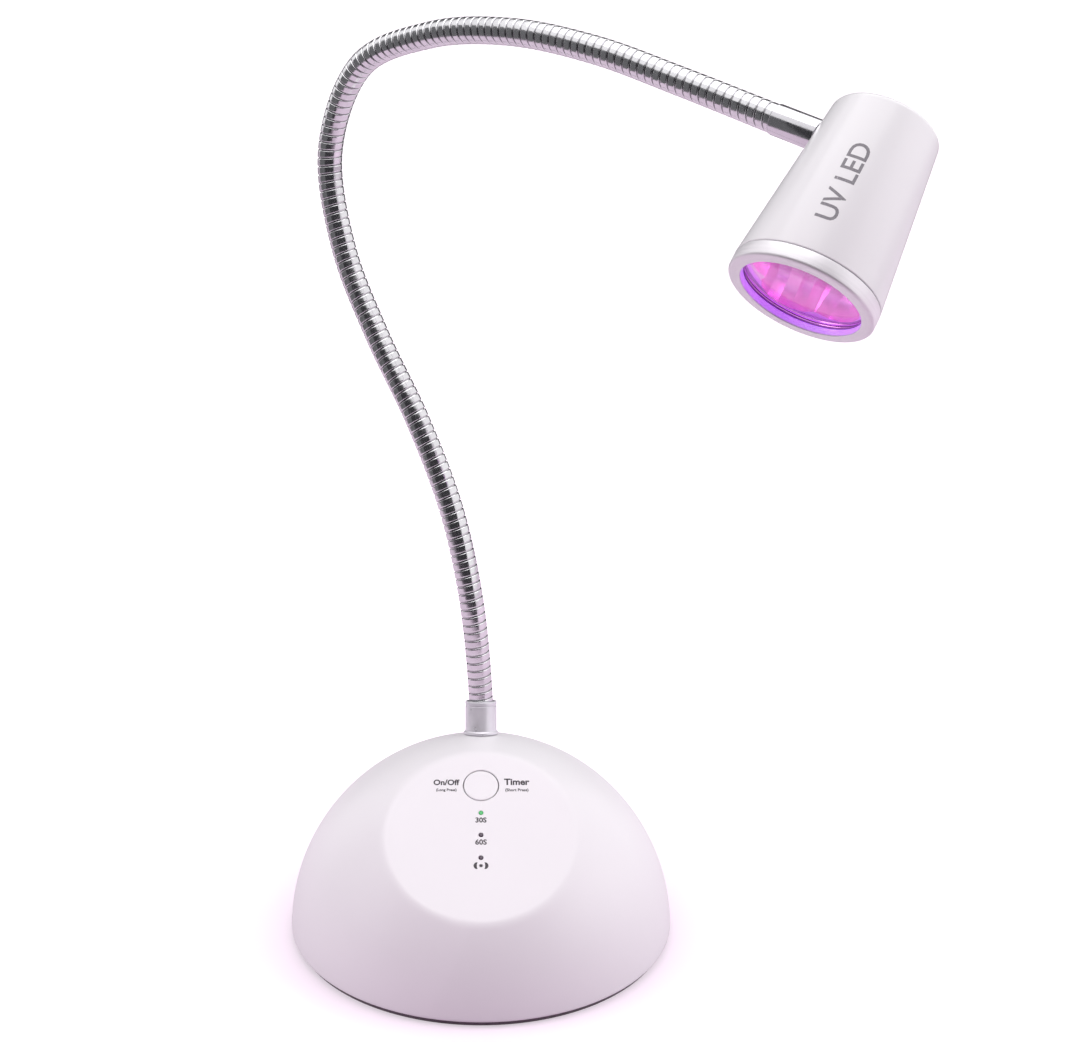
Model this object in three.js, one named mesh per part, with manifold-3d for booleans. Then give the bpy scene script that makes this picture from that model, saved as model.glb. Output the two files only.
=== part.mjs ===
// A cordless UV curing lamp: a weighted dome base with a slanted control panel, a flexible
// gooseneck and a tapered round lamp head.
// Millimetres, +Z up, front towards -Y, origin on the floor under the centre of the dome.
import * as THREE from 'three';
import { mergeVertices } from 'three/addons/utils/BufferGeometryUtils.js';
import Module from 'manifold-3d';

const wasm = await Module();
wasm.setup();

// Clearance between neighbouring pieces.
const GAP = 0.3;

// Base.
const DOME_RADIUS = 63;
const DOME_FOOT = 1.8;
const DOME_WALL = 2.4;
const PAD_RADIUS = 61.5;
const PAD_THICKNESS = 1.5;
const PLATE_RADIUS = 59;
const PLATE_THICKNESS = 3.2;
const PLATE_TOP = DOME_FOOT + PLATE_THICKNESS;
const BALLAST_RADIUS = 42;
const BALLAST_THICKNESS = 9;
const BALLAST_TOP = PLATE_TOP + GAP + BALLAST_THICKNESS;
const BASE_SCREW_CIRCLE = 50;
const BASE_SCREW = { head: 2.8, headHeight: 1.6, shank: 1.25, length: 11 };
const BASE_SCREW_HOLE = 1.6;
const BASE_SCREW_POST = 3.4;
const BALLAST_BOLT = { head: 3.9, headHeight: 1.6, shank: 2, length: 11 };
const BALLAST_BORE = 2.3;
const HEAD_SINK = 2.1;
const HEAD_LIFT = 0.2;

// Control panel: a flat cut on the front of the dome, leaning back by PANEL_TILT.
const PANEL_TILT = THREE.MathUtils.degToRad(31.4);
const PANEL_DISTANCE = 55;
const PANEL_FLAT_RADIUS = 29.4;
const PANEL_EDGE_ANGLE = THREE.MathUtils.degToRad(30.8);
const BUTTON_UP = 18.2;
const BUTTON_RADIUS = 5.45;
const BUTTON_TRAVEL = 0.5;
const BUTTON_FLANGE = { radius: BUTTON_RADIUS + 1.2, top: -2.8, bottom: -3.5 };
const LIGHTS_UP = [8.1, 0.1, -8];
const LIGHT_RADIUS = 0.7;
const BOARD_TOP = -9;
const BOARD_THICKNESS = 1.6;
const BOARD_BACK = BOARD_TOP - BOARD_THICKNESS;
const BOARD_SCREW = { head: 1.9, headHeight: 1.1, shank: 0.75, length: 6 };
const BOARD_SCREW_HOLE = 1.1;
const BOARD_SCREW_POST = 2.2;
const LEAD_CONNECTOR = { x: 7, y: 5, z: 4, up: 9 };
const BOARD_SCREWS = [[-15, 21], [15, 21], [0, -16.5]];

// Battery and charging port.
const CELL_RADIUS = 9.2;
const CELL_LENGTH = 65;
const HOLDER_FLOOR = 1.5;
const CELL_AXIS = { y: 4, z: BALLAST_TOP + GAP + HOLDER_FLOOR + GAP + CELL_RADIUS };
const PORT = { width: 8.94, height: 3.26, length: 7.3, wall: 0.3, z: 16, front: 60 };
const CHARGE_BOARD = { x: 20, y: 14, thickness: 1.2, middle: 49.4, underPort: 2.1 };
const CHARGE_POST = { radius: 1.8, x: 6, y: 49 };

// Stem: the line, square to the dome, on which the gooseneck leaves the base.
const STEM_TILT = THREE.MathUtils.degToRad(16);
const STEM_FERRULE_HEIGHT = 11;
const STEM_FERRULE_RADIUS = 5.2;
const STEM_STUB_RADIUS = 4.2;
const STEM_STUB_LENGTH = 9;
const STEM_HOLE_RADIUS = 4.6;
const STEM_WASHER = { radius: 7.6, thickness: 0.8, under: 1.8 };
const STEM_NUT = { corner: 7.2, thickness: 3.1, under: 2.9 };
const FERRULE_EDGE = 0.4;

// Gooseneck: it lies in an upright plane turned by NECK_HEADING from +X.
// Each route point is a reach along that plane and a height above the floor.
const NECK_RADIUS = 4;
const NECK_BORE = 2.2;
const NECK_BEHIND = 20.4;
const NECK_HEADING = THREE.MathUtils.degToRad(-40);
const NECK_END_FALL = THREE.MathUtils.degToRad(15);
const NECK_ROUTE = [
  [-4, 105], [-12.5, 135], [-27, 163], [-44.5, 189], [-59, 216.5], [-64, 247.5],
  [-50, 274.5], [-21, 285], [10.5, 287], [42, 283], [72, 275.5], [102, 267.3],
];
const NECK_IN_FERRULE = 6;
const NECK_PIVOTS = 8;
const FERRULE_BORE = NECK_RADIUS + 0.45;
const SOCKET_RADIUS = 4.7;
const WIRE_RADIUS = 1.1;
const WIRE_PAST_PIVOT = 3.3;
const WIRE_FROM_PIVOT = 4.9;

// Head: local +Z runs from the lens face to the closed back, local +X towards the gooseneck.
const HEAD_LENGTH = 54;
const HEAD_HEADING = THREE.MathUtils.degToRad(46.4);
const HEAD_RISE = THREE.MathUtils.degToRad(48.6);
const NECK_UP_HEAD = 44.3;
const NECK_TO_HEAD_AXIS = 30;
const HEAD_WALL = 1.8;
const BACK_RADIUS = 14.7;
const BEZEL_RADIUS = 19.9;
const BEZEL_HEIGHT = 4.25;
const LENS_OPENING = 16.45;
const LENS_POCKET = 17.2;
const SPIGOT_RADIUS = 18.2;
const SPIGOT_TOP = 8.6;
const SHELL_SEAT = { radius: SPIGOT_RADIUS + GAP, top: 9, inner: 17 };
const BACK_EDGE = 2;
const GASKET = { inner: 16.2, outer: 16.9, from: 2, to: 2.5 };
const LENS = { radius: 16.9, from: 2.8, to: 4.8 };
const REFLECTOR = { flange: 16.8, body: 15.6, from: 5.1, step: 8, to: 15.1 };
const CUP = { front: 8, back: 3.2 };
const LED_CIRCLE = 7.6;
const LED_COUNT = 4;
const LED_SIZE = { side: 3.4, height: 1.8, middle: 14.3 };
const LED_BOARD = { radius: 15.2, from: 15.5, to: 17 };
const LED_SCREW = { head: 1.8, headHeight: 1.2, shank: 0.85, length: 6.5 };
const LED_SCREW_HOLE = 1.15;
const LED_SCREW_SIDES = [-10.8, 10.8];
const LED_SCREW_HEAD = 14;
const HEAT_SINK = { radius: 14, root: 11, bore: 1.8, from: 17.3, to: 33, pitch: 4, fin: 3 };

// Upper ferrule: distances along its own axis from the head's axis.
const UPPER_FERRULE = { radius: 4.25, stub: 3.3, bore: 2, stubEnd: 8, seat: 15.9 };
const UPPER_HOLE_RADIUS = 3.6;
const UPPER_NUT = { corner: 5.6, from: 8.8, to: 11.6 };

const finish = (color, roughness, metalness) =>
  new THREE.MeshStandardMaterial({ color, roughness, metalness });
const materials = {
  white: finish(0xe9e5ea, 0.32, 0),
  rubber: finish(0x3a3638, 0.8, 0),
  plate: finish(0x4a464c, 0.6, 0),
  iron: finish(0x55565a, 0.55, 0.9),
  steel: finish(0xb9bbbf, 0.35, 1),
  chrome: finish(0xd7d9dc, 0.12, 1),
  satin: finish(0xcfc8cd, 0.32, 0.9),
  board: finish(0x1f5b3a, 0.5, 0.1),
  black: finish(0x1c1c20, 0.5, 0.1),
  cell: finish(0x3f6fb0, 0.4, 0),
  light: finish(0x7fd08a, 0.2, 0),
  glass: finish(0xf3e4f7, 0.05, 0),
  mirror: finish(0xe7a6e2, 0.15, 0.9),
  led: finish(0xd86cff, 0.3, 0),
  aluminium: finish(0xa9abb0, 0.4, 0.95),
  wire: finish(0x262428, 0.6, 0),
};

// ---- Shape helpers -------------------------------------------------------------------------

// A closed mesh as a solid that can be joined and cut.
function solid(geometry) {
  const bare = geometry.clone();
  bare.deleteAttribute('normal');
  bare.deleteAttribute('uv');
  const merged = mergeVertices(bare, 1e-4);
  const index = merged.index.array;
  const kept = [];
  for (let i = 0; i < index.length; i += 3) {
    const [a, b, c] = [index[i], index[i + 1], index[i + 2]];
    if (a !== b && b !== c && c !== a) {
      kept.push(a, b, c);
    }
  }
  const body = new wasm.Manifold(new wasm.Mesh({
    numProp: 3,
    vertProperties: new Float32Array(merged.attributes.position.array),
    triVerts: new Uint32Array(kept),
  }));
  return body;
}

function geometryOf(body) {
  const mesh = body.getMesh();
  const geometry = new THREE.BufferGeometry();
  geometry.setAttribute('position', new THREE.BufferAttribute(mesh.vertProperties, 3));
  geometry.setIndex(new THREE.BufferAttribute(mesh.triVerts, 1));
  return geometry;
}

function joined(geometries) {
  return geometries.map(solid).reduce((whole, next) => whole.add(next));
}

function cut(body, geometries) {
  return geometries.map(solid).reduce((whole, next) => whole.subtract(next), body);
}

function cylinder(radius, from, to, sides = 24) {
  const geometry = new THREE.CylinderGeometry(radius, radius, to - from, sides);
  return geometry.rotateX(Math.PI / 2).translate(0, 0, (from + to) / 2);
}

function cone(fromRadius, toRadius, from, to, sides = 20) {
  const geometry = new THREE.CylinderGeometry(toRadius, fromRadius, to - from, sides);
  return geometry.rotateX(Math.PI / 2).translate(0, 0, (from + to) / 2);
}

function box(x, y, z, centre = [0, 0, 0]) {
  return new THREE.BoxGeometry(x, y, z).translate(...centre);
}

// A body turned about Z from [radius, height] points. The outline runs anticlockwise, so
// that the faces point out.
function turned(points, segments = 32) {
  const profile = points.map(([radius, height]) => new THREE.Vector2(radius, height));
  if (THREE.ShapeUtils.area(profile) < 0) {
    profile.reverse();
  }
  return new THREE.LatheGeometry(profile, segments).rotateX(Math.PI / 2);
}

// A ring turned about Z: the profile closes on itself.
const ring = (points, segments) => turned([...points, points[0]], segments);

const tubeRing = (inner, outer, from, to, segments) =>
  ring([[inner, from], [outer, from], [outer, to], [inner, to]], segments);

function roundBar(path, radius, sides, steps) {
  const section = new THREE.Shape();
  section.absarc(0, 0, radius, 0, 2 * Math.PI);
  return new THREE.ExtrudeGeometry(section, {
    steps,
    curveSegments: sides / 2,
    extrudePath: path,
    bevelEnabled: false,
  });
}

// A slot-shaped bar along Y with its long side along X.
function slotBar(width, height, from, to) {
  const half = height / 2;
  const reach = width / 2 - half;
  const outline = new THREE.Shape();
  outline.absarc(reach, 0, half, -Math.PI / 2, Math.PI / 2);
  outline.absarc(-reach, 0, half, Math.PI / 2, 1.5 * Math.PI);
  const geometry = new THREE.ExtrudeGeometry(outline, {
    depth: to - from,
    curveSegments: 4,
    bevelEnabled: false,
  });
  return geometry.rotateX(Math.PI / 2).translate(0, to, 0);
}

function screw({ head, headHeight, shank, length }) {
  return turned([
    [0, 0], [head, 0], [head, headHeight], [shank, headHeight], [shank, length], [0, length],
  ], 8);
}

function hexNut(cornerRadius, holeRadius, from, to) {
  const blank = solid(cylinder(cornerRadius, from, to, 6));
  return geometryOf(cut(blank, [cylinder(holeRadius, from - 1, to + 1, 16)]));
}

function place(parent, name, geometry, material, position) {
  const mesh = new THREE.Mesh(geometry, materials[material].clone());
  mesh.name = name;
  if (position) {
    mesh.position.set(...position);
  }
  parent.add(mesh);
  return mesh;
}

function frameGroup(matrix) {
  const group = new THREE.Group();
  group.applyMatrix4(matrix);
  return group;
}

// ---- Frames --------------------------------------------------------------------------------

const lamp = new THREE.Group();
lamp.name = 'uv_curing_lamp';

// The panel's frame: +Z out of the flat, +Y up its slope, origin at the middle of the flat.
const panelFrame = new THREE.Matrix4().makeRotationX(PANEL_TILT);
const panelCentre = new THREE.Vector3(0, 0, PANEL_DISTANCE).applyMatrix4(panelFrame);
const panelPlace = panelFrame.clone().setPosition(panelCentre);

// The stem's frame: +Z along the stem, origin at the dome's centre.
const stemFrame = new THREE.Matrix4().makeRotationX(-STEM_TILT);
const onStem = (distance) => new THREE.Vector3(0, 0, distance).applyMatrix4(stemFrame);

const neckForward = new THREE.Vector3(Math.cos(NECK_HEADING), Math.sin(NECK_HEADING), 0);
const inNeckPlane = ([reach, height]) =>
  neckForward.clone().multiplyScalar(reach).add(new THREE.Vector3(0, NECK_BEHIND, height));

const stemTop = DOME_RADIUS + STEM_FERRULE_HEIGHT;
const neckCurve = new THREE.CatmullRomCurve3([
  onStem(stemTop - NECK_IN_FERRULE),
  onStem(stemTop),
  ...NECK_ROUTE.map(inNeckPlane),
]);
neckCurve.arcLengthDivisions = 600;

const neckEnd = inNeckPlane(NECK_ROUTE.at(-1));
const neckEndWay = neckForward.clone().multiplyScalar(Math.cos(NECK_END_FALL));
neckEndWay.z = -Math.sin(NECK_END_FALL);

const headAxis = new THREE.Vector3(
  Math.cos(HEAD_RISE) * Math.cos(HEAD_HEADING),
  Math.cos(HEAD_RISE) * Math.sin(HEAD_HEADING),
  Math.sin(HEAD_RISE),
);
const headFace = neckEnd.clone()
  .addScaledVector(neckEndWay, NECK_TO_HEAD_AXIS)
  .addScaledVector(headAxis, -NECK_UP_HEAD);
const headSide = neckEndWay.clone().negate();
headSide.addScaledVector(headAxis, -headSide.dot(headAxis)).normalize();
const headPlace = new THREE.Matrix4()
  .makeBasis(headSide, headAxis.clone().cross(headSide), headAxis)
  .setPosition(headFace);

// The upper ferrule's frame inside the head: +Z from the head's axis out to the gooseneck.
const ferruleLean = Math.asin(-neckEndWay.dot(headAxis));
const ferrulePlace = new THREE.Matrix4()
  .makeRotationY(Math.PI / 2 - ferruleLean)
  .setPosition(0, 0, NECK_UP_HEAD);

// ---- Base ----------------------------------------------------------------------------------

// A ball with the panel's flat cut on it and a soft edge round the flat.
function flattenedBall(radius, flat, segments, bands) {
  const flatRadius = PANEL_FLAT_RADIUS * radius / DOME_RADIUS;
  const corner = Math.sqrt(radius ** 2 - flat ** 2);
  const edgeEnd = [radius * Math.sin(PANEL_EDGE_ANGLE), radius * Math.cos(PANEL_EDGE_ANGLE)];
  const edge = new THREE.QuadraticBezierCurve(
    new THREE.Vector2(flatRadius, flat),
    new THREE.Vector2(corner, flat),
    new THREE.Vector2(...edgeEnd),
  );
  const points = edge.getPoints(3).map((point) => [point.x, point.y]);
  for (let band = 1; band <= bands; band += 1) {
    const angle = PANEL_EDGE_ANGLE + (Math.PI - PANEL_EDGE_ANGLE) * band / bands;
    points.push([band === bands ? 0 : radius * Math.sin(angle), radius * Math.cos(angle)]);
  }
  return turned([[0, flat], ...points], segments).applyMatrix4(panelFrame);
}

function aroundBase(count, radius, make) {
  return Array.from({ length: count }, (_, i) => {
    const angle = (i + 0.5) * 2 * Math.PI / count;
    return make(radius * Math.cos(angle), radius * Math.sin(angle), i);
  });
}

function baseShell() {
  const outside = solid(flattenedBall(DOME_RADIUS, PANEL_DISTANCE, 40, 12));
  const inside = solid(flattenedBall(DOME_RADIUS - DOME_WALL, PANEL_DISTANCE - DOME_WALL, 24, 8));
  const screwPosts = aroundBase(4, BASE_SCREW_CIRCLE, (x, y) =>
    cylinder(BASE_SCREW_POST, PLATE_TOP + GAP, 45, 8).translate(x, y, 0));
  const boardPosts = BOARD_SCREWS.map(([x, y]) =>
    cylinder(BOARD_SCREW_POST, BOARD_TOP + GAP, 0, 8).translate(x, y, 0).applyMatrix4(panelPlace));
  const posts = joined([...screwPosts, ...boardPosts]).intersect(outside);
  const floor = box(200, 200, 100, [0, 0, DOME_FOOT - 50]);
  const screwHoles = aroundBase(4, BASE_SCREW_CIRCLE, (x, y) =>
    cylinder(BASE_SCREW_HOLE, 0, PLATE_TOP + 12, 8).translate(x, y, 0));
  const boardHoles = BOARD_SCREWS.map(([x, y]) =>
    cylinder(BOARD_SCREW_HOLE, BOARD_TOP - 1, -3.6, 8).translate(x, y, 0).applyMatrix4(panelPlace));
  const buttonHole = cylinder(BUTTON_RADIUS + GAP, -6, 4, 24).translate(0, BUTTON_UP, 0);
  const lightHoles = LIGHTS_UP.map((up) => cylinder(LIGHT_RADIUS + GAP, -6, 4, 8).translate(0, up, 0));
  const panelHoles = [buttonHole, ...lightHoles].map((hole) => hole.applyMatrix4(panelPlace));
  const stemHole = cylinder(STEM_HOLE_RADIUS, DOME_RADIUS - 8, DOME_RADIUS + 4, 16);
  stemHole.applyMatrix4(stemFrame);
  const portHole = slotBar(PORT.width + 2 * GAP, PORT.height + 2 * GAP, 50, 66).translate(0, 0, PORT.z);
  const hollow = outside.subtract(inside).add(posts);
  return geometryOf(cut(hollow, [floor, ...screwHoles, ...boardHoles, ...panelHoles, stemHole, portHole]));
}

function basePlate() {
  const plate = cylinder(PLATE_RADIUS, DOME_FOOT, PLATE_TOP, 48);
  const screwHoles = aroundBase(4, BASE_SCREW_CIRCLE, (x, y) => [
    cylinder(BASE_SCREW.head + GAP, 0, DOME_FOOT + HEAD_SINK, 10).translate(x, y, 0),
    cylinder(BASE_SCREW_HOLE, 0, 20, 8).translate(x, y, 0),
  ]).flat();
  const boltHoles = [
    cylinder(BALLAST_BOLT.head + GAP, 0, DOME_FOOT + HEAD_SINK, 12),
    cylinder(BALLAST_BORE, 0, 20, 10),
  ];
  const postTop = PORT.z - CHARGE_BOARD.underPort - CHARGE_BOARD.thickness - 0.4;
  const chargePosts = [-CHARGE_POST.x, CHARGE_POST.x].map((x) =>
    cylinder(CHARGE_POST.radius, PLATE_TOP - 1, postTop, 8).translate(x, CHARGE_POST.y, 0));
  const body = joined([plate, ...chargePosts]);
  return geometryOf(cut(body, [...screwHoles, ...boltHoles]));
}

function batteryHolder() {
  const outer = box(CELL_LENGTH + 5, 22.4, 14, [0, 0, 7]);
  const trough = box(CELL_LENGTH + 1.4, 19, 20, [0, 0, HOLDER_FLOOR + 10]);
  return geometryOf(cut(solid(outer), [trough]));
}

function usbSocket() {
  const back = PORT.front - PORT.length;
  const inset = 2 * PORT.wall;
  const shell = solid(slotBar(PORT.width, PORT.height, back, PORT.front));
  const mouth = slotBar(PORT.width - inset, PORT.height - inset, back + 1, PORT.front + 1);
  const tongue = box(6.6, 5, 0.7, [0, back + 3.3, 0]);
  return geometryOf(cut(shell, [mouth]).add(solid(tongue)));
}

function buildBase() {
  place(lamp, 'base_pad', cylinder(PAD_RADIUS, 0, PAD_THICKNESS, 48), 'rubber');
  place(lamp, 'base_plate', basePlate(), 'plate');
  place(lamp, 'base_shell', baseShell(), 'white');
  aroundBase(4, BASE_SCREW_CIRCLE, (x, y, i) =>
    place(lamp, `base_screw_${i + 1}`, screw(BASE_SCREW), 'steel', [x, y, DOME_FOOT + HEAD_LIFT]));
  const ballast = tubeRing(BALLAST_BORE, BALLAST_RADIUS, PLATE_TOP + GAP, BALLAST_TOP, 32);
  place(lamp, 'ballast_weight', ballast, 'iron');
  place(lamp, 'ballast_bolt', screw(BALLAST_BOLT), 'steel', [0, 0, DOME_FOOT + HEAD_LIFT]);
  place(lamp, 'battery_holder', batteryHolder(), 'black', [0, CELL_AXIS.y, BALLAST_TOP + GAP]);
  const cell = cylinder(CELL_RADIUS, -CELL_LENGTH / 2, CELL_LENGTH / 2, 24).rotateY(Math.PI / 2);
  place(lamp, 'battery_cell', cell, 'cell', [0, CELL_AXIS.y, CELL_AXIS.z]);
  const chargeBoard = box(CHARGE_BOARD.x, CHARGE_BOARD.y, CHARGE_BOARD.thickness);
  const boardHeight = PORT.z - CHARGE_BOARD.underPort - CHARGE_BOARD.thickness / 2;
  place(lamp, 'charge_board', chargeBoard, 'board', [0, CHARGE_BOARD.middle, boardHeight]);
  place(lamp, 'usb_socket', usbSocket(), 'steel', [0, 0, PORT.z]);
}

function controlBoard() {
  const sheet = box(38, 44, BOARD_THICKNESS, [0, 2, BOARD_TOP - BOARD_THICKNESS / 2]);
  const holes = BOARD_SCREWS.map(([x, y]) => cylinder(BOARD_SCREW_HOLE, -20, 0, 10).translate(x, y, 0));
  return geometryOf(cut(solid(sheet), holes));
}

function buildPanel() {
  const panel = frameGroup(panelPlace);
  lamp.add(panel);
  place(panel, 'control_board', controlBoard(), 'board');
  BOARD_SCREWS.forEach(([x, y], i) =>
    place(panel, `board_screw_${i + 1}`, screw(BOARD_SCREW), 'steel', [x, y, BOARD_BACK - 1.4]));
  const flange = BUTTON_FLANGE;
  const button = turned([
    [0, flange.bottom], [flange.radius, flange.bottom], [flange.radius, flange.top],
    [BUTTON_RADIUS, flange.top], [BUTTON_RADIUS, -0.2], [BUTTON_RADIUS - 0.2, 0], [0, 0],
  ], 24);
  place(panel, 'power_button', button, 'white', [0, BUTTON_UP, 0]);
  const plungerTop = flange.bottom - BUTTON_TRAVEL - GAP;
  const switchBody = box(6, 6, 3.2, [0, 0, BOARD_TOP + GAP + 1.6]);
  const tactSwitch = joined([switchBody, cylinder(1.7, BOARD_TOP + 2, plungerTop, 12)]);
  place(panel, 'tact_switch', geometryOf(tactSwitch), 'black', [0, BUTTON_UP, 0]);
  LIGHTS_UP.forEach((up, i) => {
    const pipe = turned([
      [0, BOARD_TOP + GAP], [1.4, BOARD_TOP + GAP], [1.4, flange.top], [LIGHT_RADIUS, flange.top],
      [LIGHT_RADIUS, 0], [0, 0],
    ], 8);
    place(panel, `light_pipe_${i + 1}`, pipe, 'light', [0, up, 0]);
  });
  const { x, y, z, up } = LEAD_CONNECTOR;
  place(panel, 'lead_connector', box(x, y, z), 'black', [0, up, BOARD_BACK - GAP - z / 2]);
}

function buildStem() {
  const stem = frameGroup(stemFrame);
  lamp.add(stem);
  const seat = DOME_RADIUS + GAP;
  const under = DOME_RADIUS - DOME_WALL;
  const bottom = under - STEM_STUB_LENGTH;
  const boreEnd = stemTop - NECK_IN_FERRULE - GAP;
  place(stem, 'lower_ferrule', ring([
    [NECK_BORE, bottom], [STEM_STUB_RADIUS, bottom], [STEM_STUB_RADIUS, seat],
    [STEM_FERRULE_RADIUS + 0.5, seat], [STEM_FERRULE_RADIUS, seat + 1],
    [STEM_FERRULE_RADIUS, stemTop - FERRULE_EDGE], [STEM_FERRULE_RADIUS - FERRULE_EDGE, stemTop],
    [FERRULE_BORE, stemTop], [FERRULE_BORE, boreEnd], [NECK_BORE, boreEnd],
  ], 16), 'chrome');
  const washerTop = under - STEM_WASHER.under;
  const washer = tubeRing(
    STEM_HOLE_RADIUS, STEM_WASHER.radius, washerTop - STEM_WASHER.thickness, washerTop, 16,
  );
  place(stem, 'lower_washer', washer, 'steel');
  const nutTop = under - STEM_NUT.under;
  const nut = hexNut(STEM_NUT.corner, STEM_HOLE_RADIUS, nutTop - STEM_NUT.thickness, nutTop);
  place(stem, 'lower_nut', nut, 'steel');
}

// ---- Gooseneck -----------------------------------------------------------------------------

// Places along the gooseneck: its start, the pivots and its end, as shares of its length.
const stations = [
  0,
  ...Array.from({ length: NECK_PIVOTS }, (_, i) => (i + 0.5) / NECK_PIVOTS),
  1,
];
const neckPoint = (share) => neckCurve.getPointAt(share);
const neckTangent = (share) => neckCurve.getTangentAt(share);
const pastStation = (share, distance) => neckPoint(share).addScaledVector(neckTangent(share), distance);

// Points along the gooseneck between two shares of its length, both ends left out.
function neckBetween(from, to, count) {
  return Array.from({ length: count }, (_, i) => neckPoint(from + (to - from) * (i + 1) / (count + 1)));
}

function ball(radius, share, columns, rows) {
  const turn = new THREE.Quaternion().setFromUnitVectors(new THREE.Vector3(0, 1, 0), neckTangent(share));
  const sphere = new THREE.SphereGeometry(radius, columns, rows);
  return sphere.applyQuaternion(turn).translate(...neckPoint(share));
}

// One stiff stretch of the gooseneck: a round ball at its far pivot, a socket at its near one.
function neckStretch(from, to) {
  const line = [neckPoint(from), ...neckBetween(from, to, 3), neckPoint(to)];
  const isEndStretch = from === 0 || to === 1;
  const rod = roundBar(new THREE.CatmullRomCurve3(line), NECK_RADIUS, 10, isEndStretch ? 3 : 4);
  const before = pastStation(from, -1);
  const after = pastStation(to, NECK_RADIUS + 1);
  const boreLine = new THREE.CatmullRomCurve3([before, ...line, after]);
  const body = to < 1 ? joined([rod, ball(NECK_RADIUS, to, 10, 6)]) : solid(rod);
  const hollows = [roundBar(boreLine, NECK_BORE, 6, isEndStretch ? 3 : 5)];
  if (from > 0) {
    hollows.push(ball(SOCKET_RADIUS, from, 12, 8));
  }
  return geometryOf(cut(body, hollows));
}

function wire(points, steps) {
  return roundBar(new THREE.CatmullRomCurve3(points), WIRE_RADIUS, 6, steps);
}

function buildNeck() {
  for (let i = 0; i <= NECK_PIVOTS; i += 1) {
    const [from, to] = [stations[i], stations[i + 1]];
    place(lamp, `neck_tube_${i + 1}`, neckStretch(from, to), 'chrome');
    if (i > 0 && i < NECK_PIVOTS) {
      const line = [
        pastStation(from, WIRE_FROM_PIVOT), ...neckBetween(from, to, 3), pastStation(to, WIRE_PAST_PIVOT),
      ];
      place(lamp, `neck_wire_${i}`, wire(line, 5), 'wire');
    }
  }
}

function buildBaseLead() {
  const underConnector = (drop) =>
    new THREE.Vector3(0, LEAD_CONNECTOR.up, BOARD_BACK - LEAD_CONNECTOR.z - drop).applyMatrix4(panelPlace);
  const line = [
    underConnector(1), underConnector(4), onStem(40), onStem(50), onStem(60), onStem(70),
    ...neckBetween(0, stations[1], 2).slice(1),
    pastStation(stations[1], WIRE_PAST_PIVOT),
  ];
  place(lamp, 'base_lead', wire(line, 13), 'wire');
}

// ---- Head ----------------------------------------------------------------------------------

const headWallAt = (height) =>
  BEZEL_RADIUS + (BACK_RADIUS - BEZEL_RADIUS) * (height - BEZEL_HEIGHT) / (HEAD_LENGTH - BEZEL_HEIGHT);

function headShell() {
  const mouth = BEZEL_HEIGHT + GAP;
  const corner = Array.from({ length: 3 }, (_, i) => {
    const angle = i * Math.PI / 4;
    return [
      BACK_RADIUS - BACK_EDGE * (1 - Math.cos(angle)),
      HEAD_LENGTH - BACK_EDGE * (1 - Math.sin(angle)),
    ];
  });
  const cup = turned([
    [0, HEAD_LENGTH - HEAD_WALL],
    [BACK_RADIUS - HEAD_WALL, HEAD_LENGTH - HEAD_WALL],
    [SHELL_SEAT.inner, SHELL_SEAT.top], [SHELL_SEAT.radius, SHELL_SEAT.top],
    [SHELL_SEAT.radius, mouth], [headWallAt(mouth), mouth],
    ...corner,
    [0, HEAD_LENGTH],
  ], 32);
  const ferruleHole = cylinder(UPPER_HOLE_RADIUS, 6, 24, 12).applyMatrix4(ferrulePlace);
  return geometryOf(cut(solid(cup), [ferruleHole]));
}

function bezelRing() {
  return ring([
    [LENS_OPENING, 0.5], [LENS_OPENING + 0.5, 0], [BEZEL_RADIUS - 0.6, 0], [BEZEL_RADIUS, 0.6],
    [BEZEL_RADIUS, BEZEL_HEIGHT], [SPIGOT_RADIUS, BEZEL_HEIGHT], [SPIGOT_RADIUS, SPIGOT_TOP],
    [LENS_POCKET, SPIGOT_TOP], [LENS_POCKET, GASKET.from - GAP], [LENS_OPENING, GASKET.from - GAP],
  ], 32);
}

function aroundLeds(make) {
  return Array.from({ length: LED_COUNT }, (_, i) => {
    const angle = (i + 0.5) * 2 * Math.PI / LED_COUNT;
    return make(LED_CIRCLE * Math.cos(angle), LED_CIRCLE * Math.sin(angle), i);
  });
}

// Four cone-shaped cups, one round each emitter, meet in ridges.
function reflector() {
  const { flange, body, from, step, to } = REFLECTOR;
  const block = joined([cylinder(flange, from, step, 24), cylinder(body, step - 1, to, 24)]);
  const cups = aroundLeds((x, y) => cone(CUP.front, CUP.back, from - 0.1, to + 0.1, 12).translate(x, y, 0));
  const screwRooms = LED_SCREW_SIDES.map((x) => cylinder(2.2, 13.2, 16, 10).translate(x, 0, 0));
  return geometryOf(cut(block, [...cups, ...screwRooms]));
}

const ledScrewHoles = (from, to) =>
  LED_SCREW_SIDES.map((x) => cylinder(LED_SCREW_HOLE, from, to, 8).translate(x, 0, 0));

function ledBoard() {
  const { radius, from, to } = LED_BOARD;
  return geometryOf(cut(solid(cylinder(radius, from, to, 28)), ledScrewHoles(from - 1, to + 1)));
}

function heatSink() {
  const { radius, root, bore, from, to, pitch, fin } = HEAT_SINK;
  const outline = [[bore, from]];
  for (let start = from; start + pitch < to; start += pitch) {
    outline.push([radius, start], [radius, start + fin], [root, start + fin], [root, start + pitch]);
  }
  outline.push([radius, outline.at(-1)[1]], [radius, to], [bore, to]);
  return geometryOf(cut(solid(ring(outline, 20)), ledScrewHoles(from - 7, from + 4.2)));
}

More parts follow.
